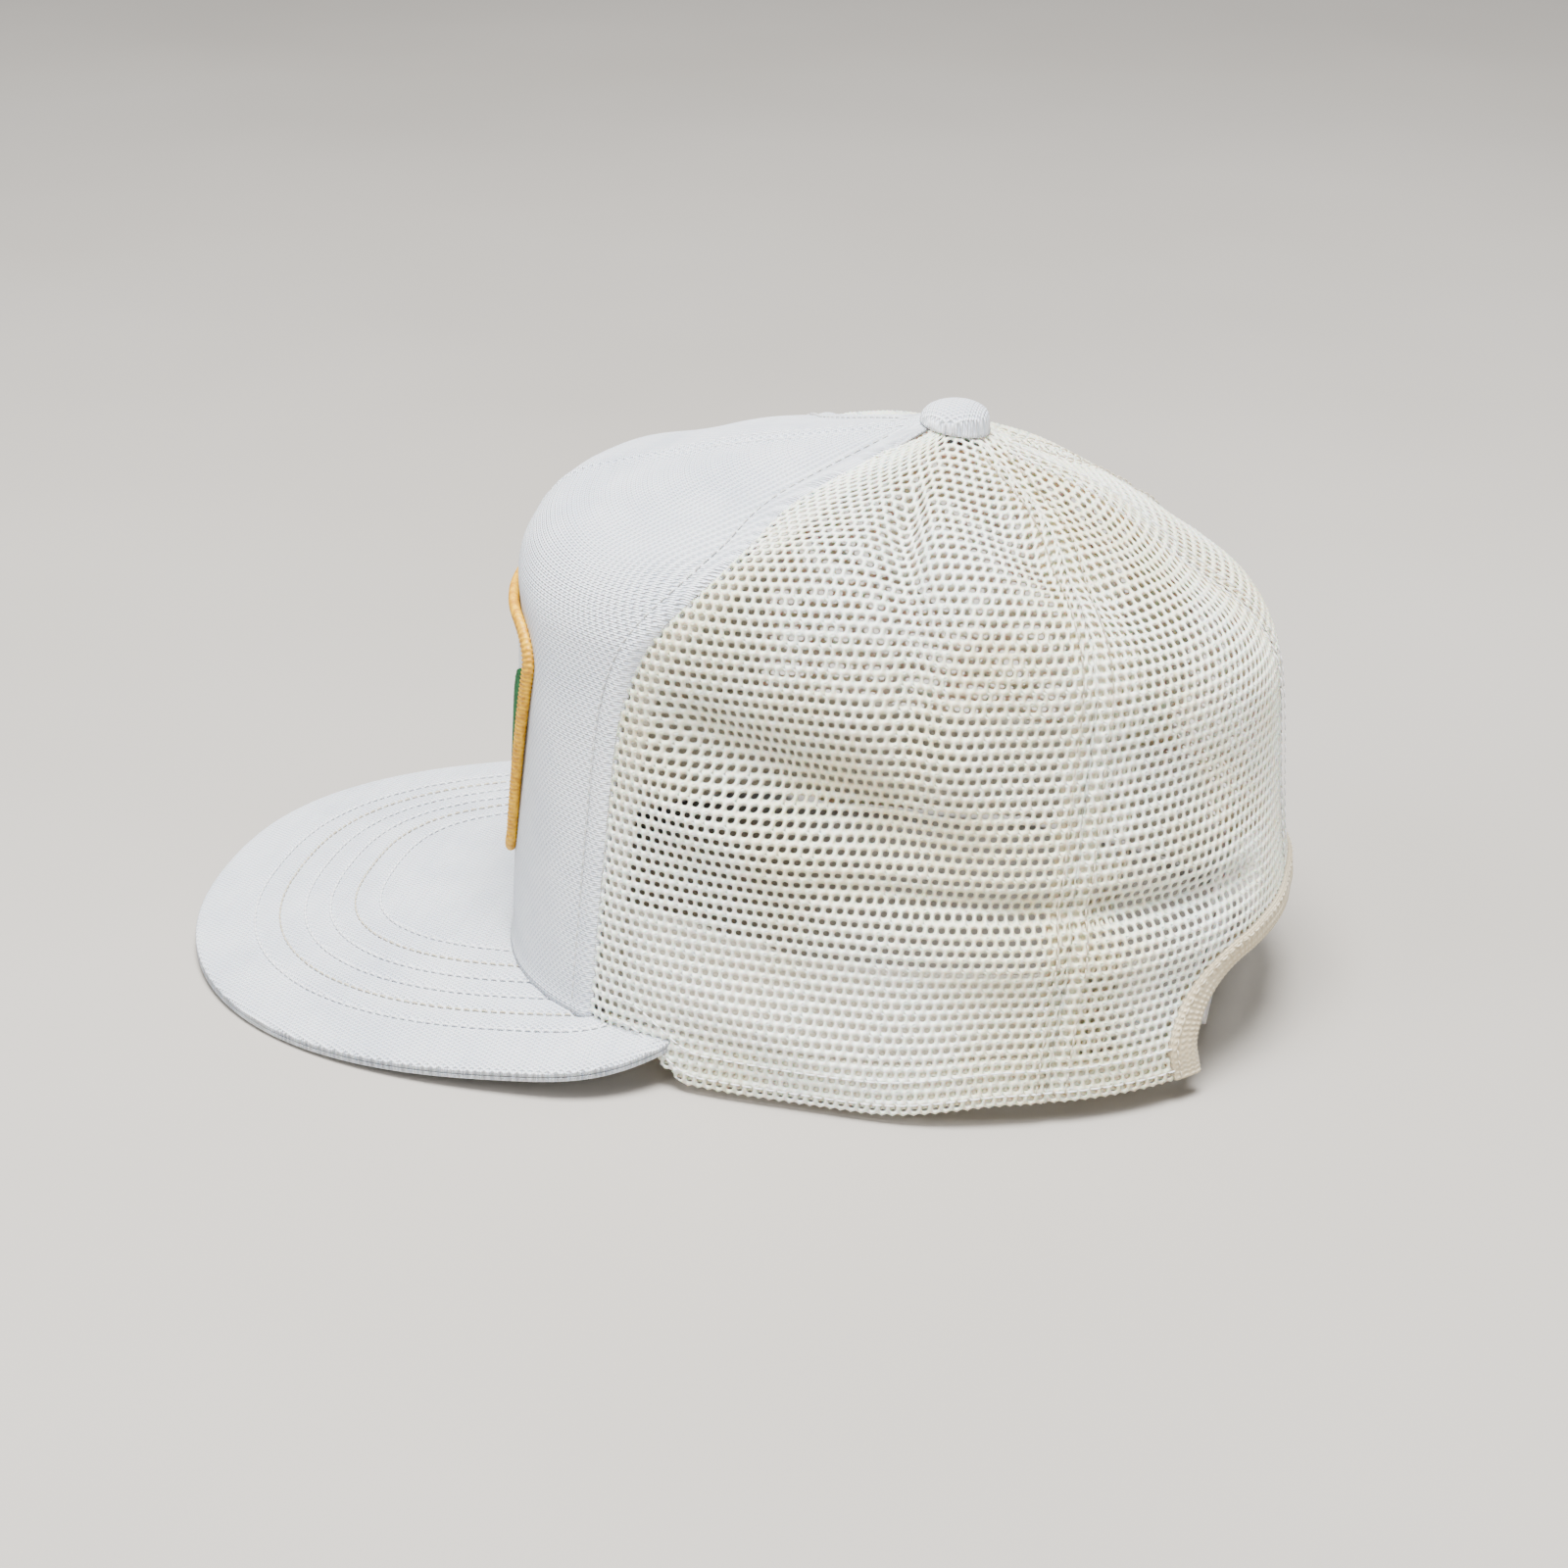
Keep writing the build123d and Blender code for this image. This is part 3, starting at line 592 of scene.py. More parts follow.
def give_finish(node, material):
    """Put a material on a CAD node that stays."""
    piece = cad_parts[node]
    if isinstance(piece, str):
        piece = bpy.data.objects[piece]
    if not piece.material_slots:
        piece.data.materials.append(material)
    for slot in piece.material_slots:
        slot.material = material


# ---- the crown's panels ------------------------------------------------------------------------
def degrees_for(arc, r):
    """Azimuth in degrees that spans an arc in millimetres at a radius."""
    return np.degrees(arc / np.maximum(r, 1.0))


def hem_carry(azimuth, v):
    """How far the rising hem carries a row of the mesh up."""
    return HEM_LIFT * blend(np.abs(azimuth), *HEM_LIFT_AZIMUTHS) * np.clip(1 - v / 50.0, 0, 1)


def cloth_azimuth(u, v, low, middle, high):
    """Azimuths of the places at cloth coordinates u across and v up from the hem."""
    out = np.empty(len(u))
    keys, which = np.unique(np.round(v, 4), return_inverse=True)
    for k, height in enumerate(keys):
        here = which == k
        fan = np.linspace(low - 14, high + 14, 120)
        run = np.maximum(meridian_length(fan) - height, 1.0)
        r, z, _ = profile(fan, run)
        angle = np.radians(fan)
        line = np.stack([r * np.sin(angle), -r * np.cos(angle), z], -1)
        travel = travel_along(line)
        travel = travel - np.interp(middle(height), fan, travel)
        out[here] = np.interp(u[here], travel, fan)
    return out


def arch_top(x, grow):
    """Height of the rear opening's edge at x, with the opening grown by a distance."""
    half = ARCH_HALF_WIDTH + grow
    corner = ARCH_CORNER + grow
    top = ARCH_HEIGHT + grow
    flat = half - corner
    away = np.clip(np.abs(x) - flat, 0, corner)
    crown_rise = -ARCH_CROWN * (x / half) ** 2
    inside = np.abs(x) < half
    return np.where(inside, top + crown_rise - corner + np.sqrt(np.maximum(corner**2 - away**2, 0)), -1e3)


NET_PITCH = (2.45, 2.7)  # between neighbouring holes, across and up
NET_YARN = 0.4
NET_REACH = 130  # how far the rows of holes are laid out, before those outside the panel are dropped


def net(name, side, low, middle, high, rows, material, depth=0.45, hole=(0.72, 0.64), shift=(0.0, 0.0),
        top_run=4.0, edge=0.0):
    """A knotted net over part of the crown. low, middle and high give azimuths at a height."""
    across, up = NET_PITCH
    tall = up * 0.6
    short = up - tall
    half = across / 2
    rim = np.array(
        [
            (0, tall), (half / 2, (tall + short) / 2), (half, short), (half, 0), (half, -short),
            (half / 2, -(tall + short) / 2), (0, -tall), (-half / 2, -(tall + short) / 2),
            (-half, -short), (-half, 0), (-half, short), (-half / 2, (tall + short) / 2),
        ]
    )
    knot = np.array([1.25, 0.85, 1.25, 0.9, 1.25, 0.85, 1.25, 0.85, 1.25, 0.9, 1.25, 0.85])
    heading = np.arctan2(rim[:, 1] / tall, rim[:, 0] / half)
    c, s = np.cos(heading), np.sin(heading)
    size = (np.abs(c) ** 2.6 + np.abs(s) ** 2.6) ** (-1 / 2.6)
    inner = np.stack([hole[0] * size * c, hole[1] * size * s], -1)

    first, last = rows
    steps = np.arange(int((last - first) / up) + 1)
    reach = int(NET_REACH / across)
    i, j = np.meshgrid(np.arange(-reach, reach + 1), steps, indexing="ij")
    u = ((i + 0.5 * (j % 2)) * across + shift[0]).ravel()
    v = (first + tall + j * up + shift[1]).ravel()
    lowest, highest = float(np.min(low(v))), float(np.max(high(v)))
    azimuth = cloth_azimuth(u, v, lowest, middle, highest)
    height = v + hem_carry(azimuth, v)
    run = meridian_length(azimuth) - height
    r, z, _ = profile(azimuth, np.maximum(run, 1.0))
    x = r * np.sin(np.radians(azimuth))
    margin = degrees_for(0.45 * across + edge, r)
    keep = (azimuth > low(v) - margin) & (azimuth < high(v) + margin) & (run > top_run)
    keep &= height > hem_rise(azimuth) - up * 0.25
    keep &= ~((azimuth > 120) & (z < arch_top(x, 1.3)))
    u, v = u[keep], v[keep]
    count = len(u)

    wobble = 0.05 * np.stack([np.sin(u * 1.7 + v * 3.1), np.cos(u * 2.3 - v * 1.9)], -1)
    outline = np.stack([u, v], -1)[:, None] + rim[None]
    corners, index = np.unique(np.round(outline.reshape(-1, 2), 3), axis=0, return_inverse=True)
    index = index.reshape(count, 12)
    lump = np.zeros(len(corners))
    lump[index.ravel()] = np.tile(knot, count)
    holes = (np.stack([u, v], -1) + wobble)[:, None] + inner[None]
    flat = np.concatenate([corners, holes.reshape(-1, 2)])
    azimuth = cloth_azimuth(flat[:, 0], flat[:, 1], lowest, middle, highest)
    r, _, _ = profile(azimuth, np.maximum(meridian_length(azimuth) - flat[:, 1], 1.0))
    slack = degrees_for(edge, r)
    azimuth = np.clip(azimuth, low(flat[:, 1]) - slack, high(flat[:, 1]) + slack)
    height = np.maximum(flat[:, 1] + hem_carry(azimuth, flat[:, 1]), hem_rise(azimuth) - 0.4)
    run = np.maximum(meridian_length(azimuth) - height, top_run * 0.7)
    corner_count = len(corners)
    outer = crown(side * azimuth[:corner_count], run[:corner_count], depth, NET_YARN * lump)
    under = crown(side * azimuth[:corner_count], run[:corner_count], depth, -NET_YARN * lump)
    middle_points = crown(side * azimuth[corner_count:], run[corner_count:], depth, 0.0)
    points = np.concatenate([outer, under, middle_points])

    hole_index = 2 * corner_count + np.arange(count * 12).reshape(count, 12)
    nxt = np.roll(index, -1, axis=1)
    hole_next = np.roll(hole_index, -1, axis=1)
    top = np.stack([index, hole_index, hole_next, nxt], -1).reshape(-1, 4)
    bottom = np.stack([index, nxt, hole_next, hole_index], -1)
    bottom[..., 0] += corner_count
    bottom[..., 1] += corner_count
    bottom = bottom.reshape(-1, 4)
    pairs = np.stack([index, nxt], -1).reshape(-1, 2)
    ordered = np.sort(pairs, axis=1)
    _, back, number = np.unique(ordered, axis=0, return_inverse=True, return_counts=True)
    lone = pairs[number[back.ravel()] == 1]
    rim_faces = np.stack([lone[:, 0], lone[:, 1], lone[:, 1] + corner_count, lone[:, 0] + corner_count], -1)
    faces = np.concatenate([top, bottom, rim_faces])
    if side < 0:
        faces = faces[:, ::-1]
    uv = np.concatenate([corners, corners, holes.reshape(-1, 2)])
    return make_object(name, points, faces, material, uv=uv)


def constant(value):
    return lambda height: np.full(np.shape(height), float(value)) if np.shape(height) else float(value)


for side, label in SIDES:
    mesh_side = net(
        f"mesh_side_{label}", side, front_seam, constant(82), rear_seam, (0, 182), MESH_YARN, edge=0.3
    )
    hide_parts(f"side_mesh_{label}")
    mesh_rear = net(
        f"mesh_rear_{label}", side, rear_seam, constant(152), constant(179.6), (0, 182), MESH_YARN, edge=0.3
    )
    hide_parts(f"rear_mesh_{label}")

    hem = net(
        f"hem_fold_{label}", side, constant(45.5), constant(82), constant(143), (0, 9), FOLD_YARN,
        depth=1.3, hole=(0.62, 0.6), shift=(1.2, 0.9),
    )
    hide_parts(f"hem_tape_{label}")


def beside(seam, arc):
    """The azimuth curve that runs beside a seam at an arc in millimetres, nearer towards the button."""

    def curve(height):
        azimuth = seam(height)
        r, _, _ = profile(azimuth, np.maximum(meridian_length(azimuth) - height, 1.0))
        return azimuth + degrees_for(arc * (0.35 + 0.65 * blend(r, 8, 62)), r)

    return curve


for side, label in SIDES:
    fold_strip = net(
        f"seam_fold_{label}", side, beside(rear_seam, -3.0), rear_seam, beside(rear_seam, 12.0), (1, 160),
        FOLD_YARN, depth=1.35, hole=(0.5, 0.5), shift=(1.1, 1.5), top_run=12.0,
    )


def skin(name, azimuth, run, stand, thickness, material, uv):
    """A closed cloth layer over the crown: grids of azimuth, run and height above the CAD surface."""
    outer = crown(azimuth, run, 0.0, stand)
    inner = crown(azimuth, run, 0.0, stand - thickness)
    points, faces = shell(outer, inner)
    uv = np.concatenate([uv.reshape(-1, 2)] * 2)
    return turn_out(make_object(name, points, faces, material, uv=uv))


def panel_grid(columns, rows, start_share, end_share, top_run, foot=0.0):
    """Azimuth, run and height grids over a front panel, from the centre (0) to its seam (1)."""
    share = np.linspace(start_share, end_share, columns)[None, :]
    t = np.linspace(0, 1, rows)[:, None]
    azimuth = share * FRONT_SEAM * np.ones_like(t)
    for _ in range(4):
        low = hem_rise(azimuth) + foot
        full = meridian_length(azimuth)
        height = low + t * (full - top_run - low)
        azimuth = share * front_seam(height)
    full = meridian_length(azimuth)
    return azimuth, full - height, height


def front_panel(side, label):
    """A front panel's knit: a welt and a sewn channel along its seam, a ridge along the middle."""
    azimuth, run, height = panel_grid(72, 150, 0.001, 1.0, 2.6)
    r, _, _ = profile(azimuth, run)
    to_seam = np.radians(front_seam(height) - azimuth) * r
    to_middle = np.radians(azimuth) * r
    welt = 0.55 * np.exp(-(((to_seam - 1.9) / 1.5) ** 2)) - 0.55 * np.exp(-((to_seam / 0.8) ** 2))
    channel = -0.22 * np.exp(-(((to_seam - 5.2) / 0.7) ** 2))
    ridge = 0.5 * np.exp(-(((to_middle - 1.9) / 1.6) ** 2)) - 0.5 * np.exp(-((to_middle / 0.8) ** 2))
    foot_roll = 0.5 * np.exp(-(((height - hem_rise(azimuth)) / 1.6) ** 2))
    stand = (welt + channel + ridge) * blend(run, 5, 26) + foot_roll
    stand = stand + 0.25 * np.sin(azimuth / 3.1 + height / 17) * blend(height, 5, 25) * blend(run, 20, 60)
    panel = skin(
        f"front_panel_cloth_{label}", side * azimuth, run, stand, FABRIC, KNIT,
        uv=np.stack([side * to_middle, height], -1),
    )
    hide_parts(f"front_panel_{label}")


def foam_pad(side, label):
    """The foam behind a front panel."""
    azimuth, run, height = panel_grid(20, 44, 0.004, 0.955, 13.0, foot=0.8)
    r, _, _ = profile(azimuth, run)
    foam = skin(
        f"front_foam_pad_{label}", side * azimuth, run, -FABRIC - 0.2 + 0 * run, FOAM, FOAM_FILL,
        uv=np.stack([np.radians(azimuth) * r, height], -1),
    )
    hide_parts(f"front_foam_{label}")


for side, label in SIDES:
    front_panel(side, label)
    foam_pad(side, label)


def ribbon(name, side, seam, half_width, depth, thickness, foot, top_run, material):
    """A tape along the inside of a seam: constant width, from a height to a run below the button."""
    across = np.linspace(-half_width, half_width, 7)[None, :]
    t = np.linspace(0, 1, 70)[:, None]
    azimuth = seam(60.0) + 0 * across * t
    for _ in range(4):
        full = meridian_length(azimuth)
        height = foot + t * (full - top_run - foot)
        r, _, _ = profile(azimuth, full - height)
        azimuth = seam(height) + degrees_for(across, r)
    full = meridian_length(azimuth)
    bulge = -0.15 * (across / half_width) ** 2
    return skin(
        name, side * azimuth, full - height, -depth + bulge, thickness, material,
        uv=np.stack([across + 0 * t, height + 0 * across], -1),
    )


def seam_tape(name, node, side, seam, half_width, depth, foot, top_run, length, material):
    """A tape along a seam, in place of its CAD node, which is hidden; length, its flat size in metres, is
    not used.
    """
    tape = ribbon(name, side, seam, half_width, depth, 0.6, foot, top_run, material)
    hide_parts(node)


BEHIND_FOAM = FABRIC + FOAM + 0.4
MIDDLE_TAPES = (
    ("tape_front_centre", "front_centre_tape", 1, constant(0), 5.5, BEHIND_FOAM, 14, 15, 0.185, TAPE_WEAVE),
    ("tape_rear_centre", "rear_centre_tape", 1, constant(180), 5.05, 1.15, 34, 13, 0.137, FOLD_YARN),
)
SIDE_TAPES = (
    ("front_side", front_seam, 5.05, 1.6, 16, 13, 0.163, TAPE_WEAVE),
    ("side_rear", rear_seam, 5.2, 1.2, 10, 12, 0.160, FOLD_YARN),
)
for tape in MIDDLE_TAPES:
    seam_tape(*tape)
for side, label in SIDES:
    for place, *rest in SIDE_TAPES:
        seam_tape(f"tape_{place}_{label}", f"{place}_tape_{label}", side, *rest)


def seam_path(side, seam, offset, foot, top_run, stand, count=220):
    """Points and lifts along a seam at an offset in millimetres across it."""
    t = np.linspace(0, 1, count)
    azimuth = seam(60.0) + 0 * t
    for _ in range(4):
        full = meridian_length(azimuth)
        height = foot + hem_rise(azimuth) + t * (full - top_run - foot - hem_rise(azimuth))
        r, _, _ = profile(azimuth, full - height)
        azimuth = seam(height) + degrees_for(offset, r)
    run = meridian_length(azimuth) - height
    return crown(side * azimuth, run, 0.0, stand), outward(side * azimuth, run)


front_lines = [seam_path(side, front_seam, -5.2, 3, 16, 0.0) for side in (1, -1)]
stitched("stitches_front_side", front_lines, GREY_THREAD, radius=0.2, pitch=2.6, share=0.72)
centre_lines = [seam_path(1, constant(0), offset, 2, 12, 0.25) for offset in (-2.6, 2.6)]
stitched("stitches_front_centre", centre_lines, WHITE_THREAD, radius=0.2, pitch=2.6, share=0.74)
rear_lines = [
    seam_path(side, rear_seam, offset, 2, 15, 0.35) for side in (1, -1) for offset in (-3.4, 3.4)
]
stitched("stitches_side_rear", rear_lines, TAN_THREAD, radius=0.22, pitch=2.8, share=0.8)
back_lines = [seam_path(1, constant(180), offset, 36, 15, 0.35) for offset in (-3.2, 3.2)]
stitched("stitches_rear_centre", back_lines, WHITE_THREAD, radius=0.22, pitch=2.8, share=0.8)


def ring_path(side, start, end, height, stand, count=300):
    """Points and lifts along the wall at a height above the hem."""
    azimuth = np.linspace(start, end, count)
    run = meridian_length(azimuth) - (hem_rise(azimuth) + height)
    return crown(side * azimuth, run, 0.0, stand), outward(side * azimuth, run)


hem_lines = [ring_path(side, 47, 140, height, 0.4) for side in (1, -1) for height in (2.6, 8.2)]
stitched("stitches_hem", hem_lines, WHITE_THREAD, radius=0.22, pitch=2.8, share=0.8)


# ---- sweatband ---------------------------------------------------------------------------------
BAND_DEPTH = 4.3  # inside the crown's surface, in front
BAND_END = 140
BAND_HEIGHT = 31.5
BAND_FRONT_FOOT = 7.5


def sweatband():
    """The cotton band inside the crown's foot, open across the rear."""
    azimuth = np.linspace(-BAND_END, BAND_END, 190)[None, :]
    size = np.abs(azimuth)
    t = np.linspace(0, 1, 16)[:, None]
    height = BAND_FRONT_FOOT - 4.5 * blend(size, 48, 80) + t * BAND_HEIGHT
    to_side = -1.9 * blend(size, 50, 76)
    to_end = 1.7 * blend(size, 116, 130)
    band_depth = BAND_DEPTH + to_side + to_end
    wrinkle = 0.18 * np.sin(azimuth * 0.9) + 0.12 * np.sin(azimuth * 2.3 + height / 6)
    roll = -0.35 * np.exp(-(((t - 0.02) / 0.05) ** 2)) - 0.3 * np.exp(-(((t - 0.97) / 0.05) ** 2))
    full = meridian_length(azimuth)
    r, _, _ = profile(azimuth + 0 * t, full - height)
    band = skin(
        "sweatband_cloth", azimuth + 0 * t, full - height, wrinkle + roll - band_depth - 0.1, 0.8,
        BAND_WEAVE,
        uv=np.stack([np.radians(azimuth) * r, height], -1),
    )
    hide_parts("sweatband")


sweatband()


# ---- visor -------------------------------------------------------------------------------------
def visor_outline(count):
    """Points and outward directions around the visor's edge, from its left end to its right end."""
    front = np.linspace(-math.pi / 2, math.pi / 2, count)
    reach = superellipse(front, VISOR_HALF_WIDTH, VISOR_WIDEST_Y - TIP_Y, VISOR_SQUARENESS)
    points = np.stack([-reach * np.sin(front), VISOR_WIDEST_Y - reach * np.cos(front)], -1)
    tail_turn = np.linspace(0.02, 1, count // 6)
    tail_x = VISOR_HALF_WIDTH - VISOR_TAIL_NARROWING * tail_turn**VISOR_TAIL_BEND
    tail_y = VISOR_WIDEST_Y + VISOR_TAIL_LENGTH * tail_turn
    left = np.stack([tail_x, tail_y], -1)[::-1]
    right = np.stack([-tail_x, tail_y], -1)
    line = np.concatenate([left, points, right])
    travel = travel_along(line)
    even = np.linspace(0, travel[-1], count)
    line = np.stack([np.interp(even, travel, line[:, k]) for k in range(2)], -1)
    ahead = np.gradient(line, axis=0)
    out = np.stack([ahead[:, 1], -ahead[:, 0]], -1)
    out /= np.linalg.norm(out, axis=1, keepdims=True)
    if out[count // 2, 1] > 0:
        out = -out
    return line, out


VISOR_LINE, VISOR_OUT = visor_outline(360)
ROW_INSETS = (15.0, 21.3, 27.7, 34.1, 40.4, 46.8)
# the rolled edge, as (inset, drop) from its lip to the flat of the cover
VISOR_EDGE = (
    (0.18, 1.72), (0.0, 1.56), (0.16, 1.40), (0.0, 1.24), (0.15, 1.08), (0.02, 0.92),
    (0.22, 0.62), (0.55, 0.36), (1.1, 0.16), (2.0, 0.04),
)


def edge_distance(x, y):
    """Distance inward from the visor's edge."""
    flat = np.stack([x.ravel(), y.ravel()], -1)
    out = np.empty(len(flat))
    for begin in range(0, len(flat), 4000):
        part = flat[begin : begin + 4000]
        away = np.linalg.norm(part[:, None] - VISOR_LINE[None], axis=-1)
        out[begin : begin + 4000] = away.min(axis=1)
    return out.reshape(x.shape)


def visor_root():
    """The visor's inner end under the crown's front wall, one point for each outline point."""
    azimuth = np.linspace(56, -56, len(VISOR_LINE))
    r = foot_radius(azimuth) - 9 * np.tan(np.radians(lean(azimuth))) - 4.3
    angle = np.radians(azimuth)
    root = np.stack([r * np.sin(angle), AXIS_Y - r * np.cos(angle)], -1)
    root[:, 1] = np.minimum(root[:, 1], VISOR_WIDEST_Y + VISOR_TAIL_LENGTH - 1)
    return root


def visor_cover(name, node, upper):
    """One cover of the visor: sewn channels over the board, and a rolled, ridged edge."""
    root = visor_root()
    rows = []
    drops = []
    for inset, drop in VISOR_EDGE:
        rows.append(VISOR_LINE - VISOR_OUT * inset)
        drops.append(np.full(len(VISOR_LINE), drop))
    start = rows[-1]
    for share in np.linspace(0, 1, 90)[1:]:
        rows.append(start + (root - start) * share)
        drops.append(np.zeros(len(VISOR_LINE)))
    plan = np.stack(rows)
    drop = np.stack(drops)
    x, y = plan[..., 0], plan[..., 1]
    inset = edge_distance(x, y)
    channel = np.zeros_like(inset)
    for row in ROW_INSETS:
        channel -= 0.5 * np.exp(-(((inset - row) / 0.9) ** 2))
    puff = 0.16 * np.cos((inset - ROW_INSETS[0]) / 6.36 * 2 * math.pi + math.pi) * blend(inset, 10, 15)
    puff = puff * (1 - blend(inset, 47, 52))
    pucker = 0.07 * np.sin(x * 0.55 + y * 0.35) * np.sin(y * 0.5 - x * 0.2) * blend(inset, 3, 14)
    relief = channel + puff * 0.6 + pucker
    if upper:
        z = visor_height(x, y) - drop + np.where(drop > 0, 0, relief)
    else:
        z = visor_height(x, y) - VISOR_THICKNESS + drop - np.where(drop > 0, 0, relief)
    outer = np.stack([x, y, z], -1)
    across = np.gradient(outer, axis=1)
    along = np.gradient(outer, axis=0)
    normal = np.cross(across, along)
    normal /= np.maximum(np.linalg.norm(normal, axis=-1, keepdims=True), 1e-9)
    if (normal[40:, :, 2].mean() > 0) != upper:
        normal = -normal
    inner = outer - normal * VISOR_CLOTH
    points, faces = shell(outer, inner)
    uv = np.concatenate([plan.reshape(-1, 2)] * 2)
    cover = turn_out(make_object(name, points, faces, KNIT, uv=uv))
    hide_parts(node)


visor_cover("visor_cloth_top", "visor_top_cover", True)
visor_cover("visor_cloth_under", "visor_under_cover", False)


def visor_row(inset, upper):
    """A stitch row at a distance inside the visor's edge, as far as the crown."""
    line = VISOR_LINE - VISOR_OUT * inset
    angle = np.arctan2(np.abs(line[:, 0]), AXIS_Y - line[:, 1])
    beyond = np.linalg.norm(line - [0, AXIS_Y], axis=1) - foot_radius(np.degrees(angle))
    line = line[(beyond > -2.0) & (line[:, 1] < VISOR_WIDEST_Y + 24)]
    z = visor_height(line[:, 0], line[:, 1])
    if upper:
        z = z - 0.22
    else:
        z = z - VISOR_THICKNESS + 0.22
    lifts = np.tile([0.0, 0.0, 1.0 if upper else -1.0], (len(line), 1))
    return np.concatenate([line, z[:, None]], axis=1), lifts


tan_rows = [visor_row(ROW_INSETS[k], upper) for k in (1, 4) for upper in (True, False)]
white_rows = [visor_row(ROW_INSETS[k], upper) for k in (0, 2, 3, 5) for upper in (True, False)]
stitched("stitches_visor_tan", tan_rows, TAN_THREAD, radius=0.24, pitch=2.3, share=0.7)
stitched("stitches_visor_white", white_rows, WHITE_THREAD, radius=0.32, pitch=2.3, share=0.7)


# ---- button ------------------------------------------------------------------------------------
def revolved(name, profile_points, centre, material, segments=64, ripple=0.0):
    """A closed form turned about the button axis; the first and last profile points lie on it."""
    angle = np.arange(segments) * 2 * math.pi / segments
    ring = np.array(profile_points[1:-1], float)
    scale = 1 + ripple * np.sin(angle * 16)
    x = ring[:, :1] * np.cos(angle) * scale
    y = ring[:, :1] * np.sin(angle) * scale
    heading = np.degrees(np.arctan2(x, -y))
    fall = np.tan(np.radians(slope(heading))) - math.tan(math.radians(float(slope(0))))
    rim_share = blend(np.arange(len(ring)), len(ring) - 8, len(ring) - 4)[:, None]
    z = ring[:, 1:] - fall * ring[:, :1] * rim_share
    points = np.stack([x, y, z], -1).reshape(-1, 3)
    poles = np.array([[0, 0, profile_points[0][1]], [0, 0, profile_points[-1][1]]])
    body = grid_faces(len(ring), segments, closed_columns=True).tolist()
    count = len(points)
    follow = (np.arange(segments) + 1) % segments
    caps = [(count, int(b), a) for a, b in enumerate(follow)]
    last = (len(ring) - 1) * segments
    caps += [(count + 1, last + a, int(last + b)) for a, b in enumerate(follow)]
    points = np.concatenate([points, poles]) + np.array(centre)
    uv = points[:, :2]
    return turn_out(make_object(name, points, body + caps, material, uv=uv))


def covered_button():
    """The button's domed cloth cover, turned under at its rim."""
    button_low, button_high = node_box("button_shell")
    dome = [(0.0, button_high[2] - 2.4)]
    for step in range(1, 15):
        tilt = math.radians(step * 6.2)
        rise = (button_high[2] - button_low[2] - 3.0) * math.cos(tilt) ** 0.9
        dome.append((8.15 * math.sin(tilt) ** 0.94, button_low[2] + 0.6 + rise))
    dome += [(8.25, button_low[2] + 0.6), (8.05, button_low[2] + 0.2), (7.2, button_low[2] - 0.1)]
    dome += [(4.0, button_low[2] + 0.5), (0.0, button_low[2] + 0.9)]
    button = revolved("button_cloth", dome, (0, AXIS_Y, 0), BUTTON_KNIT, ripple=0.004)
    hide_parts("button_shell")


covered_button()


# ---- rear opening's binding --------------------------------------------------------------------
def wall_azimuth(x, z, front):
    """Azimuth of the place on the crown's wall that has an x and a z."""
    azimuth = np.full(np.shape(x), 20.0 if front else 160.0)
    for _ in range(30):
        lean_now = np.radians(lean(azimuth))
        r = foot_radius(azimuth) - z * np.tan(lean_now)
        turn = np.degrees(np.arcsin(np.clip(x / r, -1, 1)))
        azimuth = 0.5 * azimuth + 0.5 * (turn if front else 180 - turn)
    return azimuth


def wall_place(x, z, front, stand):
    """Points on the crown's wall above a place in the XZ plane, at a height off the cloth."""
    azimuth = wall_azimuth(x, z, front)
    lean_now = np.radians(lean(azimuth))
    run = meridian_length(azimuth) - z / np.cos(lean_now)
    azimuth = np.where(azimuth > 180, azimuth - 360, azimuth)
    return crown(azimuth, run, 0.0, stand)


def arch_line(count, grow=0.0):
    """The rear opening's edge from the left foot over the top to the right foot, with outward directions."""
    half = ARCH_HALF_WIDTH + grow
    corner = ARCH_CORNER + grow
    turn = np.linspace(0, math.pi / 2, 24)
    foot_z = HEM_LIFT + 0.2
    side_x = np.full(8, half)
    side_z = np.linspace(foot_z, ARCH_HEIGHT + grow - corner, 8)
    corner_x = half - corner + corner * np.cos(turn)
    corner_z = ARCH_HEIGHT + grow - corner + corner * np.sin(turn)
    flat_x = np.linspace(half - corner, 0, 20)
    flat_z = np.full(20, ARCH_HEIGHT + grow)
    x = np.concatenate([side_x, corner_x[1:], flat_x[1:]])
    z = np.concatenate([side_z, corner_z[1:], flat_z[1:]])
    z = z - ARCH_CROWN * (x / half) ** 2 * blend(z, 4, 20)
    x = np.concatenate([x, -x[-2::-1]])
    z = np.concatenate([z, z[-2::-1]])
    travel = travel_along(np.stack([x, z], -1))
    even = np.linspace(0, travel[-1], count)
    x, z = np.interp(even, travel, x), np.interp(even, travel, z)
    ahead_x, ahead_z = np.gradient(x), np.gradient(z)
    size = np.hypot(ahead_x, ahead_z)
    return x, z, ahead_z / size, -ahead_x / size, even


# across the binding, as (distance from the opening's edge, height off the cloth)
BINDING_SECTION = [
    (5.5, 0.35), (5.2, 0.75), (3.6, 0.85), (1.8, 0.9), (0.4, 0.85), (-0.3, 0.5), (-0.6, -0.4), (-0.4, -1.3),
    (0.4, -1.8), (1.8, -1.9), (3.6, -1.9), (5.2, -1.85), (5.5, -1.5), (5.45, -0.6),
]


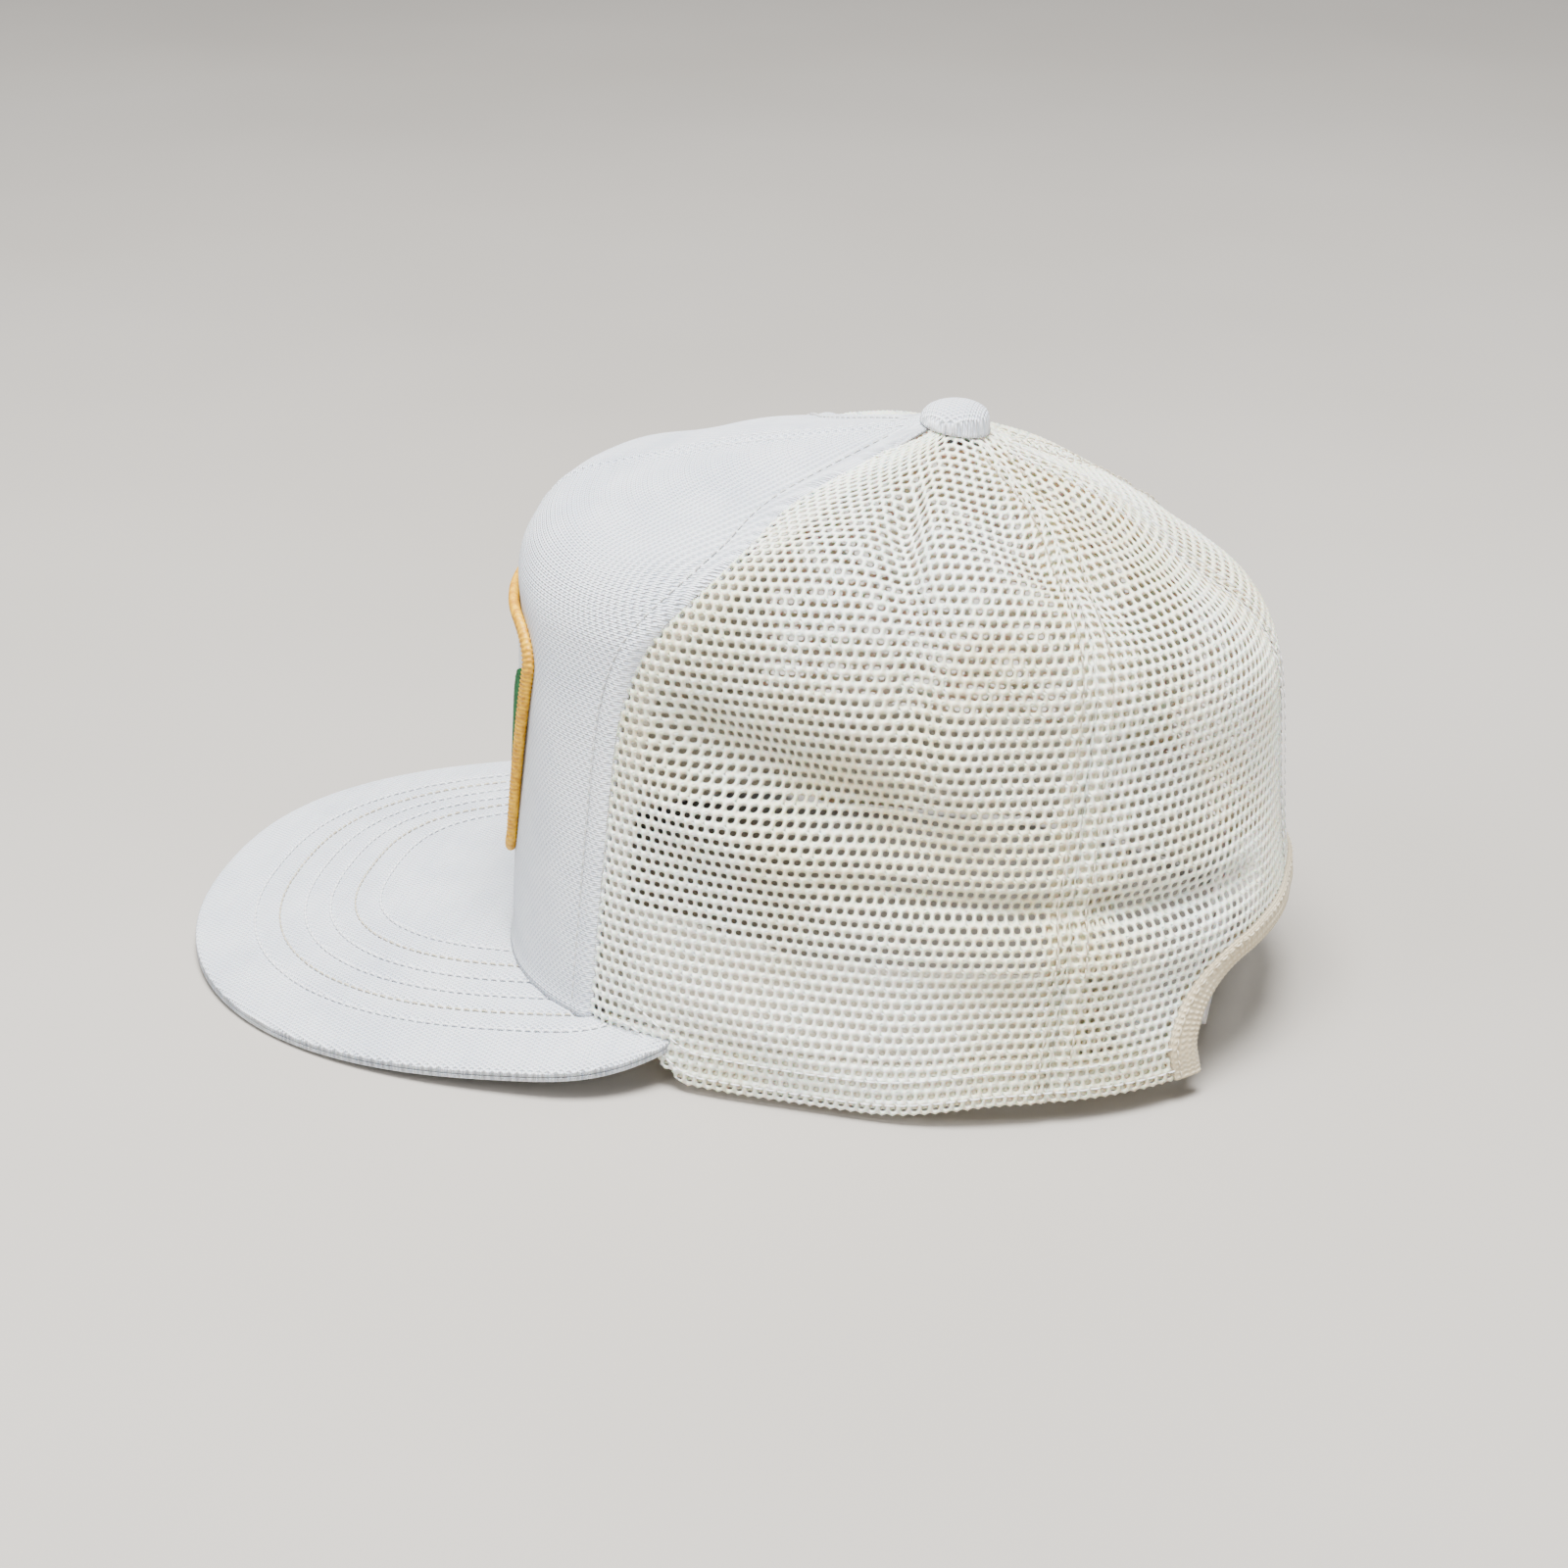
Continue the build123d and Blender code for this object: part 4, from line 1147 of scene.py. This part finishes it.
def bound_opening():
    """The braid around the rear opening, and the stitches that hold it."""
    x, z, out_x, out_z, travel = arch_line(420)
    columns = []
    for w, stand in BINDING_SECTION:
        rib = 0.09 * np.sin(travel * 2 * math.pi / CORD_PITCH) * (1 if w < 5.3 else 0)
        sx = x + out_x * w
        sz = np.maximum(z + out_z * w, HEM_LIFT - 0.2)
        columns.append(wall_place(sx, sz, False, stand + rib))
    rows = np.stack(columns, 1)
    points = rows.reshape(-1, 3)
    count_rows, count_columns = rows.shape[:2]
    faces = grid_faces(count_rows, count_columns, closed_columns=True).tolist()
    faces.append(list(range(count_columns)))
    faces.append(list(range(len(points) - 1, len(points) - 1 - count_columns, -1)))
    around = np.tile(np.linspace(0, 14, count_columns), count_rows)
    uv = np.stack([np.repeat(travel, count_columns), around], -1)
    binding = turn_out(make_object("opening_binding", points, faces, BINDING_WEAVE, uv=uv))
    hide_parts("back_opening_binding")

    stitch_x = x + out_x * 4.4
    stitch_z = np.maximum(z + out_z * 4.4, HEM_LIFT)
    path = wall_place(stitch_x, stitch_z, False, 0.95)
    flat_out = path - np.array([0, AXIS_Y, 0])
    flat_out[:, 2] = 0
    stitched("stitches_binding", [(path, flat_out)], TAN_THREAD, radius=0.2, pitch=2.6, share=0.75)


bound_opening()


# ---- patch -------------------------------------------------------------------------------------
def patch_line(count, inset):
    """The patch's outline in the XZ plane, with outward directions and travel, closed."""
    low = PATCH_FOOT + inset
    high = PATCH_FOOT + PATCH_HEIGHT - inset
    foot_corner = PATCH_FOOT_CORNER - inset * 0.6
    top_corner = PATCH_TOP_CORNER - inset
    half = PATCH_WIDTH / 2 - inset
    turn = np.linspace(0, math.pi / 2, 24)
    corner_x = half - foot_corner + foot_corner * np.sin(turn)
    corner_z = low + foot_corner - foot_corner * np.cos(turn)
    upper_x = half - top_corner + top_corner * np.cos(turn)
    upper_z = high - 1.2 - top_corner + top_corner * np.sin(turn)
    bow_x = np.linspace(half - top_corner, 0, 16)
    bow_z = high - 1.2 + 1.2 * (1 - (bow_x / (half - top_corner)) ** 2)
    bottom_x = np.linspace(0, half - foot_corner, 12)
    x = np.concatenate([bottom_x, corner_x[1:], upper_x, bow_x[1:]])
    z = np.concatenate([0 * bottom_x + low, corner_z[1:], upper_z, bow_z[1:]])
    rise = np.clip((z - PATCH_FOOT) / (PATCH_HEIGHT * 0.75), 0, 1)
    x = x * (1 - (1 - PATCH_FOOT_WIDTH / PATCH_WIDTH) * (1 - rise) ** 1.6)
    x = np.concatenate([x, -x[-2:0:-1]])
    z = np.concatenate([z, z[-2:0:-1]])
    loop_x, loop_z = np.append(x, x[0]), np.append(z, z[0])
    travel = travel_along(np.stack([loop_x, loop_z], -1))
    even = np.arange(count) * travel[-1] / count
    x, z = np.interp(even, travel, loop_x), np.interp(even, travel, loop_z)
    ahead_x = (np.roll(x, -1) - np.roll(x, 1)) / 2
    ahead_z = (np.roll(z, -1) - np.roll(z, 1)) / 2
    size = np.hypot(ahead_x, ahead_z)
    return x, z, ahead_z / size, -ahead_x / size, even


def on_front(x, z, stand):
    return wall_place(np.asarray(x, float), np.asarray(z, float), True, stand)


def patch_cord():
    """The overlocked thread around the patch."""
    x, z, out_x, out_z, travel = patch_line(1500, PATCH_BORDER / 2)
    turns = np.arange(CORD_SIDES) * 2 * math.pi / CORD_SIDES
    columns = []
    for turn in turns:
        ridge = 0.15 * np.sin(travel * 2 * math.pi / CORD_PITCH + turn * 1.6)
        w = (CORD_RADIUS + ridge) * math.cos(turn)
        columns.append(on_front(x + out_x * w, z + out_z * w, 1.3 + (1.25 + ridge) * math.sin(turn)))
    rows = np.stack(columns, 1)
    faces = grid_faces(len(x), CORD_SIDES, closed_rows=True, closed_columns=True)
    uv = np.stack([np.repeat(travel, CORD_SIDES), np.tile(turns * 1.3, len(x))], -1)
    border = turn_out(make_object("patch_border_cord", rows.reshape(-1, 3), faces, GOLD_THREAD, uv=uv))
    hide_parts("patch_border")


patch_cord()


def patch_ground():
    """The patch's twill, a thin closed disc that follows the crown."""
    x, z, out_x, out_z, travel = patch_line(EDGE_COUNT, PATCH_BORDER * 0.7)
    centre_z = PATCH_FOOT + PATCH_HEIGHT / 2
    shares = np.linspace(0.0, 1.0, 26)[1:]
    ring_x = np.concatenate([[0.0], (shares[:, None] * x).ravel()])
    ring_z = np.concatenate([[centre_z], (centre_z + shares[:, None] * (z - centre_z)).ravel()])
    top = on_front(ring_x, ring_z, 1.0 + 0.06 * np.sin(ring_x * 1.3) * np.sin(ring_z * 1.1))
    under = on_front(ring_x, ring_z, 0.2 + 0 * ring_x)
    count = len(top)
    edge = [(a, (a + 1) % EDGE_COUNT) for a in range(EDGE_COUNT)]
    disc = [(0, 1 + a, 1 + b) for a, b in edge]
    disc += [tuple(f) for f in grid_faces(len(shares), EDGE_COUNT, closed_columns=True, start=1).tolist()]
    lower = [tuple(c + count for c in reversed(f)) for f in disc]
    last = count - EDGE_COUNT
    wall = [(last + a, last + b, count + last + b, count + last + a) for a, b in edge]
    uv = np.tile(np.stack([ring_x, ring_z], -1), (2, 1))
    points = np.concatenate([top, under])
    ground = turn_out(make_object("patch_twill", points, disc + lower + wall, TWILL, uv=uv))
    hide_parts("patch_ground")


patch_ground()

HILL_FOOT = PATCH_FOOT + 5
HILL_FOOT_RISE = 1.4
SUN_X = -3.0
SUN_Z = HILL_FOOT + 40
SUN_RADIUS = 8.5


def hill_top(x):
    """Height of the hills' outline at x: a tall slope on the wearer's left, two low hills beyond."""
    x = np.asarray(x, float)
    tall = 33 * blend(x, 16, 38) - 9 * blend(x, 38, 42)
    near = 7 * np.exp(-(((x - 16) / 10) ** 2))
    far = 9 * np.exp(-(((x + 19) / 13) ** 2))
    return HILL_FOOT + 13 + tall + near + far


def hill_low(x):
    """The hills' foot: level, then up along the leaning side of the patch."""
    x = np.abs(np.asarray(x, float))
    return HILL_FOOT + HILL_FOOT_RISE * blend(x, 31, 41.5) + 5.0 * np.maximum(x - 33, 0)


def column_stitches(spacing, length, stand, low, high, x_low, x_high):
    """Satin stitches in columns between two heights."""
    starts, ends = [], []
    columns = int((x_high - x_low) / spacing)
    for k in range(columns):
        x = x_low + (k + 0.5) * spacing
        bottom, top = float(low(x)), float(high(x))
        stagger = (k % 3) / 3 * length
        edges = [bottom] + [e for e in np.arange(bottom - length + stagger, top, length) if e > bottom + 0.6]
        edges = [e for e in edges if e < top - 0.6] + [top]
        for a, b in zip(edges[:-1], edges[1:]):
            starts.append((x, a))
            ends.append((x + spacing * 0.25, b))
    starts, ends = np.array(starts), np.array(ends)
    a = on_front(starts[:, 0], starts[:, 1], stand)
    b = on_front(ends[:, 0], ends[:, 1], stand)
    outward_now = np.stack([a[:, 0] * 0.35, np.full(len(a), -100.0), np.full(len(a), 8.0)], -1)
    return sweep_threads(a, b, outward_now, 0.27, sides=5)


def motif(name, node, spacing, length, low, high, x_low, x_high, material):
    """Embroidery: a thin base with satin stitches over it."""
    x = np.linspace(x_low, x_high, 60)[None, :]
    share = np.linspace(0, 1, 24)[:, None]
    zz = low(x) + 0.25 + share * (high(x) - low(x) - 0.5)
    xx = x + 0 * share
    points, faces = shell(on_front(xx, zz, 1.35), on_front(xx, zz, 0.95))
    threads, thread_faces = column_stitches(spacing, length, 1.42, low, high, x_low, x_high)
    faces = faces.tolist() + (thread_faces + len(points)).tolist()
    piece = turn_out(make_object(name, np.concatenate([points, threads]), faces, material))
    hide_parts(node)


motif("patch_hills_stitching", "patch_hills", 0.5, 5.0, hill_low, hill_top, -34.5, 40.0, GREEN_THREAD)
def sun_half(x):
    """Half of the sun's height at x."""
    return np.sqrt(np.maximum(SUN_RADIUS**2 - (np.asarray(x, float) - SUN_X) ** 2, 0.4))


def sun_low(x):
    return SUN_Z - sun_half(x)


def sun_high(x):
    return SUN_Z + sun_half(x)


sun_ends = (SUN_X - SUN_RADIUS, SUN_X + SUN_RADIUS)
motif("patch_sun_stitching", "patch_sun", 0.5, 4.0, sun_low, sun_high, *sun_ends, SUN_THREAD)

# ---- CAD parts that stay -----------------------------------------------------------------------
for node in ("snap_strap_holes", "snap_strap_pegs", "strap_root_left", "strap_root_right"):
    give_finish(node, PLASTIC)
give_finish("button_rivet", STEEL)
give_finish("visor_board", BOARD)

# ---- floor, light and camera -------------------------------------------------------------------
floor_finish = Finish("floor_paper", 0.9)
floor_finish.colour(floor_finish.noise(3, 3), (0.3, (0.36, 0.335, 0.30)), (0.7, (0.40, 0.375, 0.34)))
floor_mesh = bpy.data.meshes.new("floor")
FLOOR_REACH = 40.0
FLOOR_Z = cad_box[0][2]  # the visor's drooping sides are lowest, and the cap stands on them
floor_corners = [(-1, -1), (1, -1), (1, 1), (-1, 1)]
floor_points = [(x * FLOOR_REACH, y * FLOOR_REACH, FLOOR_Z) for x, y in floor_corners]
floor_mesh.from_pydata(floor_points, [], [(0, 1, 2, 3)])
floor_mesh.materials.append(floor_finish.material)
floor = bpy.data.objects.new("floor", floor_mesh)
bpy.context.collection.objects.link(floor)


def aim(thing, target):
    thing.rotation_euler = (Vector(target) - thing.location).to_track_quat("-Z", "Y").to_euler()


def area_light(name, place, target, size, power):
    data = bpy.data.lights.new(name, "AREA")
    data.shape = "SQUARE"
    data.size = size
    data.energy = power
    light = bpy.data.objects.new(name, data)
    light.location = place
    bpy.context.collection.objects.link(light)
    aim(light, target)


area_light("light_key", (0.9, -0.9, 1.2), (0, 0, 0.05), 0.8, 13)
area_light("light_top", (0.25, 0.0, 1.5), (0, 0, 0.05), 0.7, 92)
area_light("light_fill", (1.3, 0.9, 0.7), (0, 0, 0.08), 0.9, 8)

world = bpy.data.worlds.new("studio")
world.use_nodes = True
background = world.node_tree.nodes["Background"]
background.inputs["Color"].default_value = (0.90, 0.93, 1.0, 1)
background.inputs["Strength"].default_value = 0.32
bpy.context.scene.world = world

camera_data = bpy.data.cameras.new("camera")
camera_data.lens = 71.1
camera_data.sensor_width = 36.0
camera_data.clip_start = 0.01
camera = bpy.data.objects.new("camera", camera_data)
camera.location = (0.6746, 0.1279, 0.3749)
bpy.context.collection.objects.link(camera)
aim(camera, (0.0, -0.0308, 0.0422))
bpy.context.scene.camera = camera
